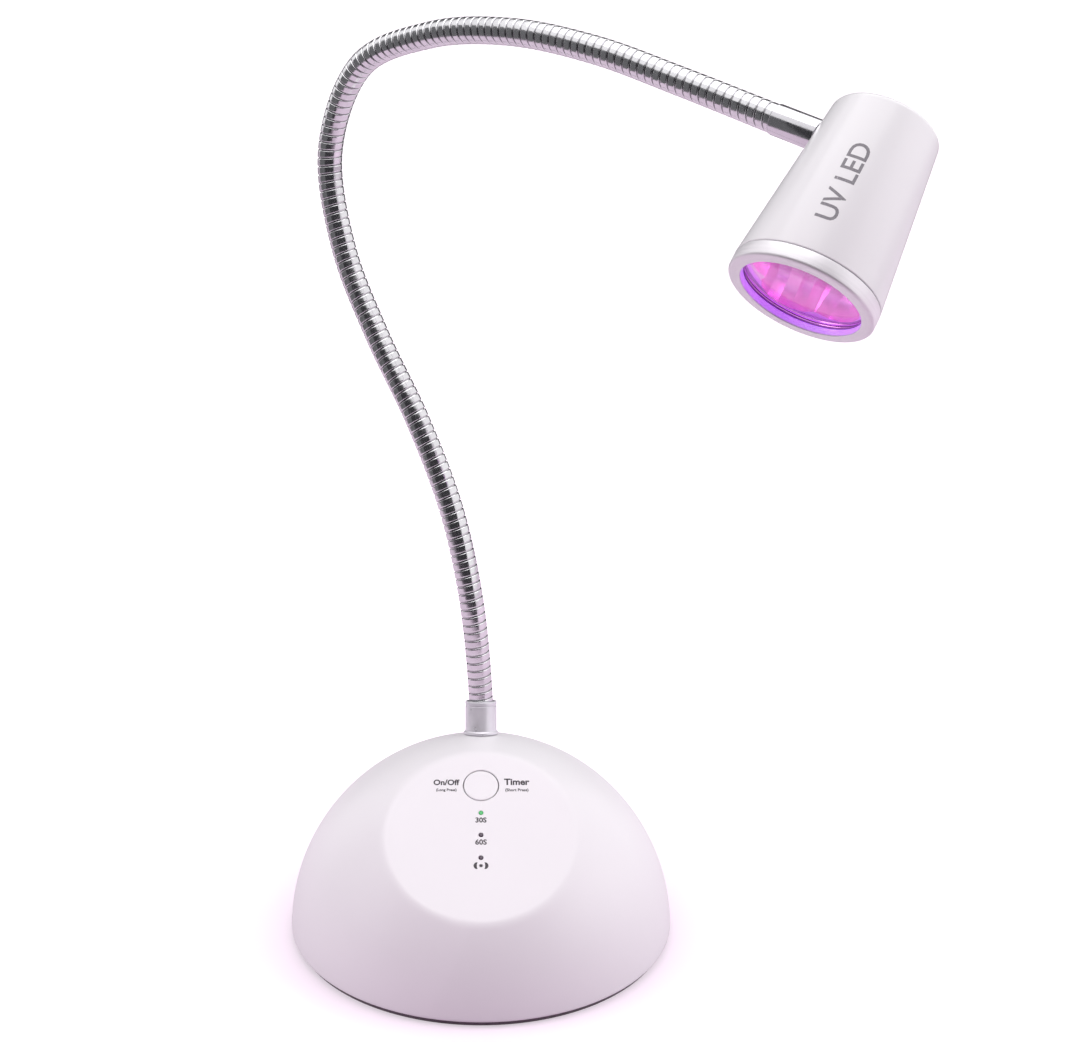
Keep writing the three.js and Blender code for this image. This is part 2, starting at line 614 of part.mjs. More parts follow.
function buildHead() {
  const head = frameGroup(headPlace);
  lamp.add(head);
  const led = box(LED_SIZE.side, LED_SIZE.side, LED_SIZE.height);
  const gasket = tubeRing(GASKET.inner, GASKET.outer, GASKET.from, GASKET.to, 32);
  place(head, 'head_shell', headShell(), 'white');
  place(head, 'bezel_ring', bezelRing(), 'satin');
  place(head, 'lens_gasket', gasket, 'rubber');
  place(head, 'lens', cylinder(LENS.radius, LENS.from, LENS.to, 32), 'glass');
  place(head, 'reflector', reflector(), 'mirror');
  aroundLeds((x, y, i) =>
    place(head, `uv_led_${i + 1}`, led.clone(), 'led', [x, y, LED_SIZE.middle]));
  place(head, 'led_board', ledBoard(), 'aluminium');
  LED_SCREW_SIDES.forEach((x, i) =>
    place(head, `led_board_screw_${i + 1}`, screw(LED_SCREW), 'steel', [x, 0, LED_SCREW_HEAD]));
  place(head, 'heat_sink', heatSink(), 'aluminium');

  const neckSide = frameGroup(ferrulePlace);
  head.add(neckSide);
  const { radius, stub, bore, stubEnd, seat } = UPPER_FERRULE;
  const end = NECK_TO_HEAD_AXIS - GAP;
  place(neckSide, 'upper_ferrule', ring([
    [bore, stubEnd], [stub, stubEnd], [stub, seat], [radius, seat], [radius, end - FERRULE_EDGE],
    [radius - FERRULE_EDGE, end], [bore, end],
  ], 20), 'chrome');
  const { corner, from, to } = UPPER_NUT;
  place(neckSide, 'upper_nut', hexNut(corner, UPPER_HOLE_RADIUS, from, to), 'steel');
}

function buildHeadLead() {
  const last = stations[NECK_PIVOTS];
  const inHead = (x, z) => new THREE.Vector3(x, 0, z).applyMatrix4(headPlace);
  const line = [
    pastStation(last, WIRE_FROM_PIVOT), ...neckBetween(last, 1, 1), neckEnd,
    inHead(22, NECK_UP_HEAD + 2.9), inHead(14, NECK_UP_HEAD + 1.85), inHead(8, NECK_UP_HEAD + 0.6),
    inHead(2, NECK_UP_HEAD - 3), inHead(0, 36), inHead(0, 26), inHead(0, 17.4),
  ];
  place(lamp, 'head_lead', wire(line, 18), 'wire');
}

buildBase();
buildPanel();
buildStem();
buildNeck();
buildBaseLead();
buildHead();
buildHeadLead();

export default lamp;
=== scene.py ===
import math

import bmesh
import bpy
import numpy as np
from mathutils import Matrix, Vector


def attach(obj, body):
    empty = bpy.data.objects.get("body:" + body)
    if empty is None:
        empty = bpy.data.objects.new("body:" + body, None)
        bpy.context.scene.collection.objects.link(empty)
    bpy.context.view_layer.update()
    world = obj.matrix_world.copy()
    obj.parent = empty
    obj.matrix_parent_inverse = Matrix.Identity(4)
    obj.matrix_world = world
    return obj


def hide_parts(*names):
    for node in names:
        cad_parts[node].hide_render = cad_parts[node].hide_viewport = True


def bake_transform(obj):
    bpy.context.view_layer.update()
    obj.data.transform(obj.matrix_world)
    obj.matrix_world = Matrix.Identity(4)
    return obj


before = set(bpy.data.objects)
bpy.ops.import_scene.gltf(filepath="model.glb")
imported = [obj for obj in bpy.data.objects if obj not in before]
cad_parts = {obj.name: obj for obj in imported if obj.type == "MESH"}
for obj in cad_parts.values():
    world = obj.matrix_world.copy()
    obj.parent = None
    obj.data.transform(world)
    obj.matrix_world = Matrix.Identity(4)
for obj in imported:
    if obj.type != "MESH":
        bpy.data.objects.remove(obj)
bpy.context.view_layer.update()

# Lengths are in millimetres in each piece's own frame, and MM turns them into metres.
MM = 0.001

# Base.
DOME_RADIUS = 63
DOME_WALL = 2.4
DOME_FOOT = 1.8
DOME_LIP = 0.8
PAD_RADIUS = 61.5
PAD_THICKNESS = 1.5
PAD_GROOVES = (30, 50)

# Control panel: the flat on the front of the dome. Its frame has +Z out and +Y up the slope.
PANEL_TILT = math.radians(31.4)
PANEL_DISTANCE = 55
PANEL_FLAT_RADIUS = 29.4
PANEL_EDGE_ANGLE = math.radians(30.8)
BUTTON_UP = 18.2
BUTTON_RADIUS = 5.45
BUTTON_GAP = 0.3
LIGHTS_UP = (8.1, 0.1, -8)
LIGHT_RADIUS = 0.7
PRINT_LIFT = 0.02

# Charging port: its frame has +Z out of the back of the dome and +Y up.
PORT_WIDTH = 8.94
PORT_HEIGHT = 3.26
PORT_DEPTH = 7.3
PORT_WALL = 0.3
PORT_UP = 16
PORT_FRONT = 60
PORT_PINS = 8
PORT_PIN_PITCH = 0.66

# Stem and gooseneck.
STEM_TILT = math.radians(16)
STEM_TOP = 74
STEM_RADIUS = 5.2
STEM_ROOT = 51.6
STEM_HOLE_RADIUS = 4.6
FERRULE_ROOT_RADIUS = 4.2
LEAD_HOLE_RADIUS = 2.2
NECK_RADIUS = 4
NECK_GROOVE = 3.62
NECK_INSIDE = 3.05
NECK_PITCH = 2.65
NECK_SIDES = 28
NECK_RIB_ROWS = 14
NECK_RIB_BAND = 0.84
# Painted shade in the hose's groove starts this far under the crown, and grows this much faster than the
# groove's depth.
NECK_SHADE_START = 0.06
NECK_SHADE_GAIN = 1.15
NECK_BEHIND = 20.4
NECK_HEADING = math.radians(-40)
NECK_END_FALL = math.radians(15)
NECK_IN_FERRULE = 6
NECK_IN_COLLAR = 3.6
NECK_PIVOTS = 8
NECK_ROUTE = (
    (-4, 105), (-12.5, 135), (-27, 163), (-44.5, 189), (-59, 216.5), (-64, 247.5),
    (-50, 274.5), (-21, 285), (10.5, 287), (42, 283), (72, 275.5), (102, 267.3),
)

# Head: its frame has +Z from the lens face to the back and +X towards the gooseneck.
HEAD_LENGTH = 54
HEAD_HEADING = math.radians(46.4)
HEAD_RISE = math.radians(48.6)
NECK_UP_HEAD = 44.3
NECK_TO_HEAD_AXIS = 30
HEAD_WALL = 1.8
HEAD_MOUTH = 4.55
HEAD_MOUTH_RADIUS = 18.5
HEAD_MOUTH_END = 9
HEAD_INNER_RADIUS = 17
BACK_RADIUS = 14.7
BACK_EDGE = 2
BEZEL_RADIUS = 19.9
BEZEL_HEIGHT = 4.25
BEZEL_LIP = 2.1
BEZEL_TAIL_RADIUS = 18.2
BEZEL_TAIL_END = 8.6
LENS_OPENING = 16.45
LENS_POCKET = 17.2
LENS_RADIUS = 16.9
LENS_FRONT = 2.8
LENS_BACK = 4.8
GASKET_INNER = 16.4
GASKET_OUTER = 16.95
GASKET_FRONT = 2.2
GASKET_BACK = 2.65
REFLECTOR_FRONT = 4.95
REFLECTOR_STEP = 8
REFLECTOR_BACK_RADIUS = 15.6
REFLECTOR_BACK = 15.1
CUP_FACETS = 14
CUP_DEPTH = 10.5
CUP_FLOOR_RADIUS = 3
CUP_FLARE = 5.2
LED_CIRCLE = 7.6
LED_COUNT = 4
LED_BASE = 14.3
LED_RADIUS = 1.5
LED_HEIGHT = 1.1
COLLAR_HOLE_RADIUS = 3.6
COLLAR_ROOT_RADIUS = 3.3
COLLAR_ROOT = 8
COLLAR_SHOULDER = 15.9
COLLAR_SEAT = 4
COLLAR_BORE = 2
MARK_AROUND = math.radians(103)
MARK_HEIGHT = 25.8
MARK_LENGTH = 24

# Camera and stage, with places in metres. Metal mirrors, and the camera sees, a brighter room than
# the one that lights the lamp.
CAMERA_PLACE = (0, -0.533, 0.312)
CAMERA_TILT = math.radians(90 - 17.84)
CAMERA_LENS = 60
CAMERA_SENSOR = 36
CAMERA_SHIFT = 59 / 1080
FLOOR_HALF = 12
FLOOR_MIRRORED = 0.15
ROOM_LIT = 0.52
ROOM_SEEN = 1.0


# ---- Frames ---------------------------------------------------------------------------------


def placed(turn, point):
    """A frame from a rotation and a point in millimetres."""
    return Matrix.Translation(Vector(point) * MM) @ turn


WORLD = Matrix.Identity(4)
PANEL_TURN = Matrix.Rotation(PANEL_TILT, 4, "X")
PANEL = placed(PANEL_TURN, PANEL_TURN @ Vector((0, 0, PANEL_DISTANCE)))
STEM = Matrix.Rotation(-STEM_TILT, 4, "X")
PORT_TURN = Matrix.Rotation(math.pi / 2, 4, "X") @ Matrix.Rotation(math.pi, 4, "Y")
PORT = placed(PORT_TURN, (0, PORT_FRONT, PORT_UP))

NECK_FORWARD = Vector((math.cos(NECK_HEADING), math.sin(NECK_HEADING), 0))
NECK_END_WAY = NECK_FORWARD * math.cos(NECK_END_FALL) - Vector((0, 0, math.sin(NECK_END_FALL)))
HEAD_AXIS = Vector((
    math.cos(HEAD_RISE) * math.cos(HEAD_HEADING),
    math.cos(HEAD_RISE) * math.sin(HEAD_HEADING),
    math.sin(HEAD_RISE),
))


def in_neck_plane(reach, height):
    return NECK_FORWARD * reach + Vector((0, NECK_BEHIND, height))


def from_axes(x, y, z):
    return Matrix((x, y, z)).transposed().to_4x4()


NECK_END = in_neck_plane(*NECK_ROUTE[-1])
HEAD_FACE = NECK_END + NECK_END_WAY * NECK_TO_HEAD_AXIS - HEAD_AXIS * NECK_UP_HEAD
HEAD_SIDE = (-NECK_END_WAY - HEAD_AXIS * HEAD_AXIS.dot(-NECK_END_WAY)).normalized()
HEAD = placed(from_axes(HEAD_SIDE, HEAD_AXIS.cross(HEAD_SIDE), HEAD_AXIS), HEAD_FACE)
FERRULE_LEAN = math.asin(-NECK_END_WAY.dot(HEAD_AXIS))
FERRULE = HEAD @ placed(Matrix.Rotation(math.pi / 2 - FERRULE_LEAN, 4, "Y"), (0, 0, NECK_UP_HEAD))


# ---- Shape helpers --------------------------------------------------------------------------


def piece(name, points, faces, place=WORLD, sharp=35):
    """A mesh object from points in millimetres in the frame place, with faces turned out."""
    mesh = bpy.data.meshes.new(name)
    mesh.from_pydata([Vector(p) * MM for p in points], [], faces)
    made = bmesh.new()
    made.from_mesh(mesh)
    bmesh.ops.recalc_face_normals(made, faces=made.faces)
    made.to_mesh(mesh)
    made.free()
    return finished(name, mesh, place, sharp)


def finished(name, mesh, place, sharp):
    smoothed(mesh, sharp)
    made = linked(name, mesh)
    made.matrix_world = place
    return made


def smoothed(mesh, sharp):
    """Smooth shading, but for edges of more than sharp degrees."""
    mesh.shade_smooth()
    mesh.set_sharp_from_angle(angle=math.radians(sharp))


def linked(name, data):
    """A new object in the scene that shows data."""
    made = bpy.data.objects.new(name, data)
    bpy.context.scene.collection.objects.link(made)
    return made


def rounded(corners, steps=5):
    """An outline in which each corner (radius, height, rounding) becomes an arc."""
    outline = []
    for i, (x, y, rounding) in enumerate(corners):
        here = Vector((x, y))
        if rounding == 0:
            outline.append(here)
            continue
        before = Vector(corners[i - 1][:2]) - here
        after = Vector(corners[(i + 1) % len(corners)][:2]) - here
        half = before.angle(after) / 2
        reach = rounding / math.tan(half)
        start = here + before.normalized() * reach
        end = here + after.normalized() * reach
        middle = (before.normalized() + after.normalized()).normalized()
        centre = here + middle * rounding / math.sin(half)
        for step in range(steps + 1):
            share = step / steps
            way = (start - centre).slerp(end - centre, share)
            outline.append(centre + way.normalized() * rounding)
    return [(p[0], p[1]) for p in outline]


def lathe(name, outline, place=WORLD, segments=96, sharp=35):
    """A closed body turned about Z. The outline closes on itself, or starts and ends on Z."""
    points, faces = [], []
    rings = []
    for radius, height in outline:
        if radius < 1e-6:
            rings.append([len(points)] * segments)
            points.append((0, 0, height))
            continue
        rings.append(list(range(len(points), len(points) + segments)))
        for i in range(segments):
            angle = 2 * math.pi * i / segments
            points.append((radius * math.cos(angle), radius * math.sin(angle), height))
    on_axis = outline[0][0] < 1e-6 and outline[-1][0] < 1e-6
    pairs = list(zip(rings, rings[1:]))
    if not on_axis:
        pairs.append((rings[-1], rings[0]))
    for low, high in pairs:
        for i in range(segments):
            j = (i + 1) % segments
            corners = [low[i], low[j], high[j], high[i]]
            face = [c for k, c in enumerate(corners) if c != corners[k - 1]]
            if len(face) > 2:
                faces.append(face)
    return piece(name, points, faces, place, sharp)


def block(name, size, centre, place, rounding):
    """A box with rounded edges."""
    made = bmesh.new()
    bmesh.ops.create_cube(made, size=1)
    for v in made.verts:
        v.co = Vector([v.co[k] * size[k] + centre[k] for k in range(3)]) * MM
    bmesh.ops.bevel(
        made, geom=made.edges[:], offset=rounding * MM, segments=3, affect="EDGES", profile=0.5
    )
    mesh = bpy.data.meshes.new(name)
    made.to_mesh(mesh)
    made.free()
    return finished(name, mesh, place, 35)


def slot_outline(width, height):
    """Points round a slot: a rectangle with half-round ends."""
    steps = 12
    half = height / 2
    reach = width / 2 - half
    outline = []
    for side, start in ((1, -math.pi / 2), (-1, math.pi / 2)):
        for i in range(steps + 1):
            angle = start + math.pi * i / steps
            outline.append((side * reach + half * math.cos(angle), half * math.sin(angle)))
    return outline


def slot_tube(name, rings, place):
    """A body through slot-shaped rings (width, height, along), with its two ends closed."""
    points, faces = [], []
    for width, height, along in rings:
        points += [(x, y, along) for x, y in slot_outline(width, height)]
    count = len(points) // len(rings)
    for ring in range(len(rings) - 1):
        for i in range(count):
            j = (i + 1) % count
            low, high = ring * count, (ring + 1) * count
            faces.append([low + i, low + j, high + j, high + i])
    faces.append(list(range(count))[::-1])
    faces.append(list(range(len(points) - count, len(points))))
    return piece(name, points, faces, place)


def drill(radius, start, end, place, segments):
    """A round cutter along the Z axis of place."""
    return lathe("cutter", [(0, start), (radius, start), (radius, end), (0, end)], place, segments)


def carve(body, cutters, sharp=35):
    """Takes the cutters away from body."""
    for cutter in cutters:
        step = body.modifiers.new("cut", "BOOLEAN")
        step.operation = "DIFFERENCE"
        step.solver = "EXACT"
        step.object = cutter
    bpy.context.view_layer.update()
    graph = bpy.context.evaluated_depsgraph_get()
    mesh = bpy.data.meshes.new_from_object(body.evaluated_get(graph))
    body.modifiers.clear()
    body.data = mesh
    smoothed(mesh, sharp)
    for cutter in cutters:
        bpy.data.objects.remove(cutter)


def worn(made, material, slot, body, *nodes):
    """Gives a piece its material and body, and hides the CAD nodes it stands for; its finish slot is not
    used.
    """
    made.data.materials.clear()
    made.data.materials.append(material)
    if body:
        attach(made, body)
    if nodes:
        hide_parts(*nodes)


# ---- Materials ------------------------------------------------------------------------------


TURNED_LINES = 3800


class Look:
    """A material made of nodes round one Principled shader."""

    def __init__(self, name, **sockets):
        self.material = bpy.data.materials.new(name)
        self.material.use_nodes = True
        self.nodes = self.material.node_tree.nodes
        self.links = self.material.node_tree.links
        self.shader = self.nodes["Principled BSDF"]
        self.where = self.nodes.new("ShaderNodeTexCoord").outputs["Object"]
        for socket, value in sockets.items():
            self.shader.inputs[socket.replace("_", " ")].default_value = value

    def add(self, kind, wires=(), **settings):
        node = self.nodes.new(kind)
        for key, value in settings.items():
            if hasattr(node, key):
                setattr(node, key, value)
            else:
                node.inputs[key.replace("_", " ")].default_value = value
        for source, socket in wires:
            self.links.new(source, node.inputs[socket])
        return node

    def noise(self, scale, detail=3, squeeze=(1, 1, 1), where=None):
        """Noise with its cells 1 / scale metres across, made smaller along each axis by squeeze."""
        spread = self.add("ShaderNodeVectorMath", [(where or self.where, 0)], operation="MULTIPLY")
        spread.inputs[1].default_value = squeeze
        return self.add(
            "ShaderNodeTexNoise", [(spread.outputs[0], "Vector")], Scale=scale, Detail=detail
        ).outputs["Fac"]

    def between(self, source, low, high, from_low=0.3, from_high=0.7):
        return self.add(
            "ShaderNodeMapRange", [(source, "Value")],
            From_Min=from_low, From_Max=from_high, To_Min=low, To_Max=high,
        ).outputs[0]

    def blend_colors(self, source, first, second, low=0.3, high=0.7):
        ramp = self.add("ShaderNodeValToRGB", [(source, 0)])
        ramp.color_ramp.elements[0].position = low
        ramp.color_ramp.elements[0].color = (*first, 1)
        ramp.color_ramp.elements[1].position = high
        ramp.color_ramp.elements[1].color = (*second, 1)
        return ramp.outputs["Color"]

    def color(self, source, first, second, low=0.3, high=0.7):
        tone = self.blend_colors(source, first, second, low, high)
        self.links.new(tone, self.shader.inputs["Base Color"])

    def roughness(self, source, low, high, from_low=0.3, from_high=0.7):
        spread = self.between(source, low, high, from_low, from_high)
        self.links.new(spread, self.shader.inputs["Roughness"])

    def bump(self, source, strength, depth):
        """depth is in millimetres."""
        bump = self.add("ShaderNodeBump", [(source, "Height")], Strength=strength, Distance=depth * MM)
        self.links.new(bump.outputs[0], self.shader.inputs["Normal"])

    def attribute(self, name):
        return self.add("ShaderNodeAttribute", attribute_name=name).outputs["Fac"]

    def from_axis(self):
        """The distance from the piece's own Z axis, and the height along it."""
        split = self.add("ShaderNodeSeparateXYZ", [(self.where, 0)])
        flat = self.add("ShaderNodeCombineXYZ", [(split.outputs[0], 0), (split.outputs[1], 1)])
        radius = self.add("ShaderNodeVectorMath", [(flat.outputs[0], 0)], operation="LENGTH")
        return radius.outputs["Value"], split.outputs[2]

    def rings(self, scale):
        """Fine turned rings about the piece's own Z axis."""
        radius, height = self.from_axis()
        lines = self.add("ShaderNodeCombineXYZ", [(radius, 0), (height, 2)])
        return self.noise(scale, 2, where=lines.outputs[0])

    def arithmetic(self, operation, first, second):
        """A sum or product of two sources, or of a source and a number."""
        node = self.add("ShaderNodeMath", [(first, 0)], operation=operation)
        if isinstance(second, float):
            node.inputs[1].default_value = second
        else:
            self.links.new(second, node.inputs[1])
        return node.outputs[0]


def moulded_plastic(name, first, second, roughness, coat=0.0, grain=0.01):
    look = Look(name, Coat_Weight=coat, Coat_Roughness=0.12)
    look.color(look.noise(18, 4), first, second, 0.15, 0.85)
    look.roughness(look.noise(60, 4), roughness - 0.02, roughness + 0.02, 0.1, 0.9)
    look.bump(look.noise(4200, 2), 0.25, grain)
    return look.material


def plated_metal(name, first, second, roughness, metallic=1.0):
    look = Look(name, Metallic=metallic)
    look.color(look.noise(90, 4), first, second)
    look.roughness(look.noise(260, 5), roughness * 0.7, roughness * 1.5)
    look.bump(look.noise(2600, 3), 0.2, 0.004)
    return look.material


def turned_metal(name, first, second, roughness):
    look = Look(name, Metallic=1.0, Anisotropic=0.35)
    lines = look.rings(TURNED_LINES)
    look.color(lines, first, second)
    look.roughness(lines, roughness - 0.05, roughness + 0.08)
    look.bump(lines, 0.35, 0.01)
    return look.material


def lit_bezel(name):
    """Satin turned metal whose inner edge, round the lens, has a painted glow in the colour of the UV
    light.
    """
    look = Look(name, Metallic=0.6, Anisotropic=0.15, Emission_Strength=0.8)
    lines = look.rings(TURNED_LINES)
    look.color(lines, (0.86, 0.84, 0.87), (0.93, 0.91, 0.94))
    # Painted glow: the faces round the lens, behind its front edge, give off the UV light's colour, though
    # the bezel is no lamp.
    radius, height = look.from_axis()
    inward = look.between(radius, 0, 1, (LENS_POCKET + 0.3) * MM, (LENS_POCKET + 0.1) * MM)
    behind = look.between(height, 0, 1, 0.2 * MM, 0.5 * MM)
    painted_glow_mask = look.arithmetic("MULTIPLY", inward, behind)
    glow = look.blend_colors(painted_glow_mask, (0, 0, 0), (0.36, 0.05, 0.78), 0, 1)
    look.links.new(glow, look.shader.inputs["Emission Color"])
    look.roughness(lines, 0.38, 0.5)
    look.bump(lines, 0.35, 0.01)
    return look.material


def soft_rubber(name, first, second, roughness=0.75):
    look = Look(name)
    look.color(look.noise(700, 4), first, second)
    look.roughness(look.noise(500, 3), roughness - 0.08, roughness + 0.1)
    look.bump(look.noise(2800, 4), 0.5, 0.04)
    return look.material


def cast_iron(name):
    look = Look(name, Metallic=0.85)
    look.color(look.noise(420, 6), (0.09, 0.09, 0.095), (0.2, 0.195, 0.19))
    look.roughness(look.noise(300, 4), 0.5, 0.8)
    look.bump(look.noise(900, 6), 0.7, 0.15)
    return look.material


def board_laminate(name):
    look = Look(name, Coat_Weight=0.6, Coat_Roughness=0.15)
    tracks = look.add("ShaderNodeTexBrick", [(look.where, "Vector")], Scale=260.0, Mortar_Size=0.03)
    tracks.inputs["Color1"].default_value = (0.025, 0.15, 0.07, 1)
    tracks.inputs["Color2"].default_value = (0.03, 0.18, 0.085, 1)
    tracks.inputs["Mortar"].default_value = (0.05, 0.27, 0.13, 1)
    look.links.new(tracks.outputs["Color"], look.shader.inputs["Base Color"])
    look.roughness(look.noise(400, 3), 0.35, 0.5)
    look.bump(tracks.outputs["Fac"], 0.3, 0.03)
    return look.material


def hose_chrome(name):
    """Chrome of the spiral hose: the groove between two turns holds a painted shade."""
    look = Look(name, Metallic=1.0)
    unshaded_chrome = look.blend_colors(look.noise(140, 4), (0.76, 0.76, 0.78), (0.86, 0.86, 0.88))
    mixed = look.add("ShaderNodeMix", [(look.attribute("groove"), "Factor")], data_type="RGBA")
    look.links.new(unshaded_chrome, mixed.inputs["A"])
    # Grey of the groove's painted shade, mixed in by the groove attribute.
    mixed.inputs["B"].default_value = (0.5, 0.49, 0.51, 1)
    look.links.new(mixed.outputs["Result"], look.shader.inputs["Base Color"])
    look.roughness(look.noise(500, 4), 0.12, 0.24)
    look.bump(look.noise(3200, 3), 0.2, 0.006)
    return look.material


def clear_glass(name):
    look = Look(name, Transmission_Weight=1.0, IOR=1.46, Base_Color=(0.98, 0.93, 0.99, 1))
    look.roughness(look.noise(120, 3), 0.0, 0.03)
    look.bump(look.noise(60, 2), 0.05, 0.01)
    return look.material


def lit_mirror(name):
    """The metallised reflector, with the emitters' light painted on it: a magenta tint and a glow."""
    look = Look(name, Metallic=1.0, Emission_Strength=0.18)
    painted_light_tint = look.blend_colors(look.noise(150, 3), (0.8, 0.26, 0.68), (0.9, 0.42, 0.82))
    look.links.new(painted_light_tint, look.shader.inputs["Base Color"])
    # The painted glow turns a deeper magenta further into the reflector.
    _, height = look.from_axis()
    depth = look.between(height, 0, 1, 5 * MM, 15 * MM)
    glow = look.blend_colors(depth, (0.82, 0.3, 0.75), (1.0, 0.16, 0.82), 0.1, 0.9)
    look.links.new(glow, look.shader.inputs["Emission Color"])
    look.roughness(look.noise(400, 3), 0.12, 0.26)
    look.bump(look.noise(900, 3), 0.15, 0.02)
    return look.material


def lit_emitter(name):
    look = Look(name, Emission_Strength=3.5, Roughness=0.25)
    look.color(look.noise(900, 3), (0.8, 0.4, 0.95), (0.95, 0.6, 1.0))
    glow = look.blend_colors(look.noise(700, 2), (0.86, 0.14, 1.0), (1.0, 0.28, 1.0))
    look.links.new(glow, look.shader.inputs["Emission Color"])
    return look.material


def light_pipe(name, first, second, glow):
    look = Look(name, Emission_Strength=glow, Coat_Weight=0.6, Coat_Roughness=0.08)
    tone = look.blend_colors(look.noise(1600, 3), first, second)
    look.links.new(tone, look.shader.inputs["Base Color"])
    look.links.new(tone, look.shader.inputs["Emission Color"])
    look.roughness(look.noise(900, 2), 0.2, 0.35)
    return look.material


def printed_ink(name, first, second):
    look = Look(name)
    look.color(look.noise(2500, 4), first, second)
    look.roughness(look.noise(1500, 2), 0.45, 0.6)
    return look.material


def cell_wrap(name):
    look = Look(name, Coat_Weight=0.5, Coat_Roughness=0.1)
    look.color(look.noise(30, 3), (0.05, 0.16, 0.4), (0.08, 0.22, 0.5))
    look.roughness(look.noise(200, 3), 0.28, 0.42)
    look.bump(look.noise(80, 4, (1, 8, 8)), 0.3, 0.12)
    return look.material


# The look of each finish slot in the record: how it is made, and what its maker is given.
RECIPES = {
    "white_plastic": (moulded_plastic, (0.8, 0.775, 0.805), (0.825, 0.8, 0.83), 0.42, 0.12),
    "white_paint": (moulded_plastic, (0.79, 0.785, 0.8), (0.812, 0.807, 0.82), 0.3, 0.4, 0.0015),
    "dark_plastic": (moulded_plastic, (0.06, 0.05, 0.06), (0.1, 0.09, 0.1), 0.55, 0, 0.03),
    "black_plastic": (moulded_plastic, (0.02, 0.02, 0.024), (0.05, 0.05, 0.055), 0.45, 0, 0.02),
    "pad_rubber": (soft_rubber, (0.11, 0.088, 0.105), (0.16, 0.13, 0.15)),
    "gasket_rubber": (soft_rubber, (0.34, 0.12, 0.46), (0.42, 0.16, 0.56), 0.6),
    "wire_jacket": (soft_rubber, (0.03, 0.03, 0.033), (0.06, 0.06, 0.065), 0.5),
    "ballast_iron": (cast_iron,),
    "zinc_steel": (plated_metal, (0.5, 0.5, 0.52), (0.66, 0.65, 0.64), 0.3),
    "port_steel": (plated_metal, (0.45, 0.45, 0.47), (0.58, 0.58, 0.6), 0.28),
    "chrome": (plated_metal, (0.7, 0.69, 0.72), (0.8, 0.79, 0.82), 0.16),
    "bezel_metal": (lit_bezel,),
    "led_board_aluminium": (turned_metal, (0.72, 0.72, 0.72), (0.82, 0.82, 0.82), 0.4),
    "heat_sink_aluminium": (turned_metal, (0.52, 0.52, 0.54), (0.66, 0.66, 0.68), 0.35),
    "cell_wrap": (cell_wrap,),
    "board_laminate": (board_laminate,),
    "neck_chrome": (hose_chrome,),
    "lens_glass": (clear_glass,),
    "reflector_mirror": (lit_mirror,),
    "uv_emitter": (lit_emitter,),
    "light_green": (light_pipe, (0.03, 0.3, 0.08), (0.06, 0.42, 0.12), 0.35),
    "light_dark": (light_pipe, (0.035, 0.015, 0.035), (0.06, 0.03, 0.06), 0.0),
}
LOOKS = {slot: maker(slot, *values) for slot, (maker, *values) in RECIPES.items()}
DARK_INK = printed_ink("dark_ink", (0.035, 0.028, 0.035), (0.06, 0.05, 0.06))
GREY_INK = printed_ink("grey_ink", (0.19, 0.18, 0.2), (0.27, 0.26, 0.28))
SATIN_CHROME = plated_metal("satin_chrome", (0.74, 0.72, 0.77), (0.8, 0.785, 0.83), 0.36, 0.5)


def dress_cad_nodes():
    """Every CAD node takes the look of its own slot in the record."""
    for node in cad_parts.values():
        for i, material in enumerate(node.data.materials):
            slot = material.name.split(".")[0]
            node.data.materials[i] = LOOKS[slot]


# ---- Base -----------------------------------------------------------------------------------


def on_panel(up):
    """A frame on the panel, up millimetres above its middle."""
    return PANEL @ placed(WORLD, (0, up, 0))


def flattened_radius(angles, radius, flat):
    """Distance from the dome's centre to its skin, by angle from the panel's normal."""
    flat_radius = PANEL_FLAT_RADIUS * radius / DOME_RADIUS
    corner = math.sqrt(radius ** 2 - flat ** 2)
    end = (radius * math.sin(PANEL_EDGE_ANGLE), radius * math.cos(PANEL_EDGE_ANGLE))
    # A quadratic curve rounds the corner between the flat and the dome.
    t = np.linspace(0, 1, 60)
    across = (1 - t) ** 2 * flat_radius + 2 * t * (1 - t) * corner + t ** 2 * end[0]
    out = (1 - t) ** 2 * flat + 2 * t * (1 - t) * flat + t ** 2 * end[1]
    edge_angles = np.arctan2(across, out)
    edge = np.interp(angles, edge_angles, np.hypot(across, out))
    flat_part = flat / np.cos(np.minimum(angles, edge_angles[0]))
    return np.where(angles < edge_angles[0], flat_part, np.where(angles > edge_angles[-1], radius, edge))


def dome_rows(radius, flat, foot, columns):
    """Rings of points from the panel's middle down to a level foot, one row of points per ring."""
    around = np.linspace(0, 2 * math.pi, columns, endpoint=False)
    # The height of a point at an angle from the panel's normal is a cosine wave of that angle.
    lean = math.sin(PANEL_TILT) * np.sin(around)
    upright = math.cos(PANEL_TILT)
    size = np.hypot(upright, lean)
    last = np.arctan2(lean, upright) + np.arccos(foot / radius / size)
    rows_below = 30
    # Rings at fixed angles lie closest where the flat turns into the dome.
    fixed = np.radians([4, 9, 14, 18, 22, 25, *np.linspace(27.4, 31.4, 17), 34, 37, 40, 43])
    rows = [np.full(columns, angle) for angle in fixed]
    rows += [fixed[-1] + (last - fixed[-1]) * (i + 1) / rows_below for i in range(rows_below)]
    turn = np.array(PANEL_TURN.to_3x3())
    rings = []
    for angles in rows:
        out = flattened_radius(angles, radius, flat)
        local = np.stack([
            out * np.sin(angles) * np.cos(around),
            out * np.sin(angles) * np.sin(around),
            out * np.cos(angles),
        ], axis=1)
        rings.append(local @ turn.T)
    return rings


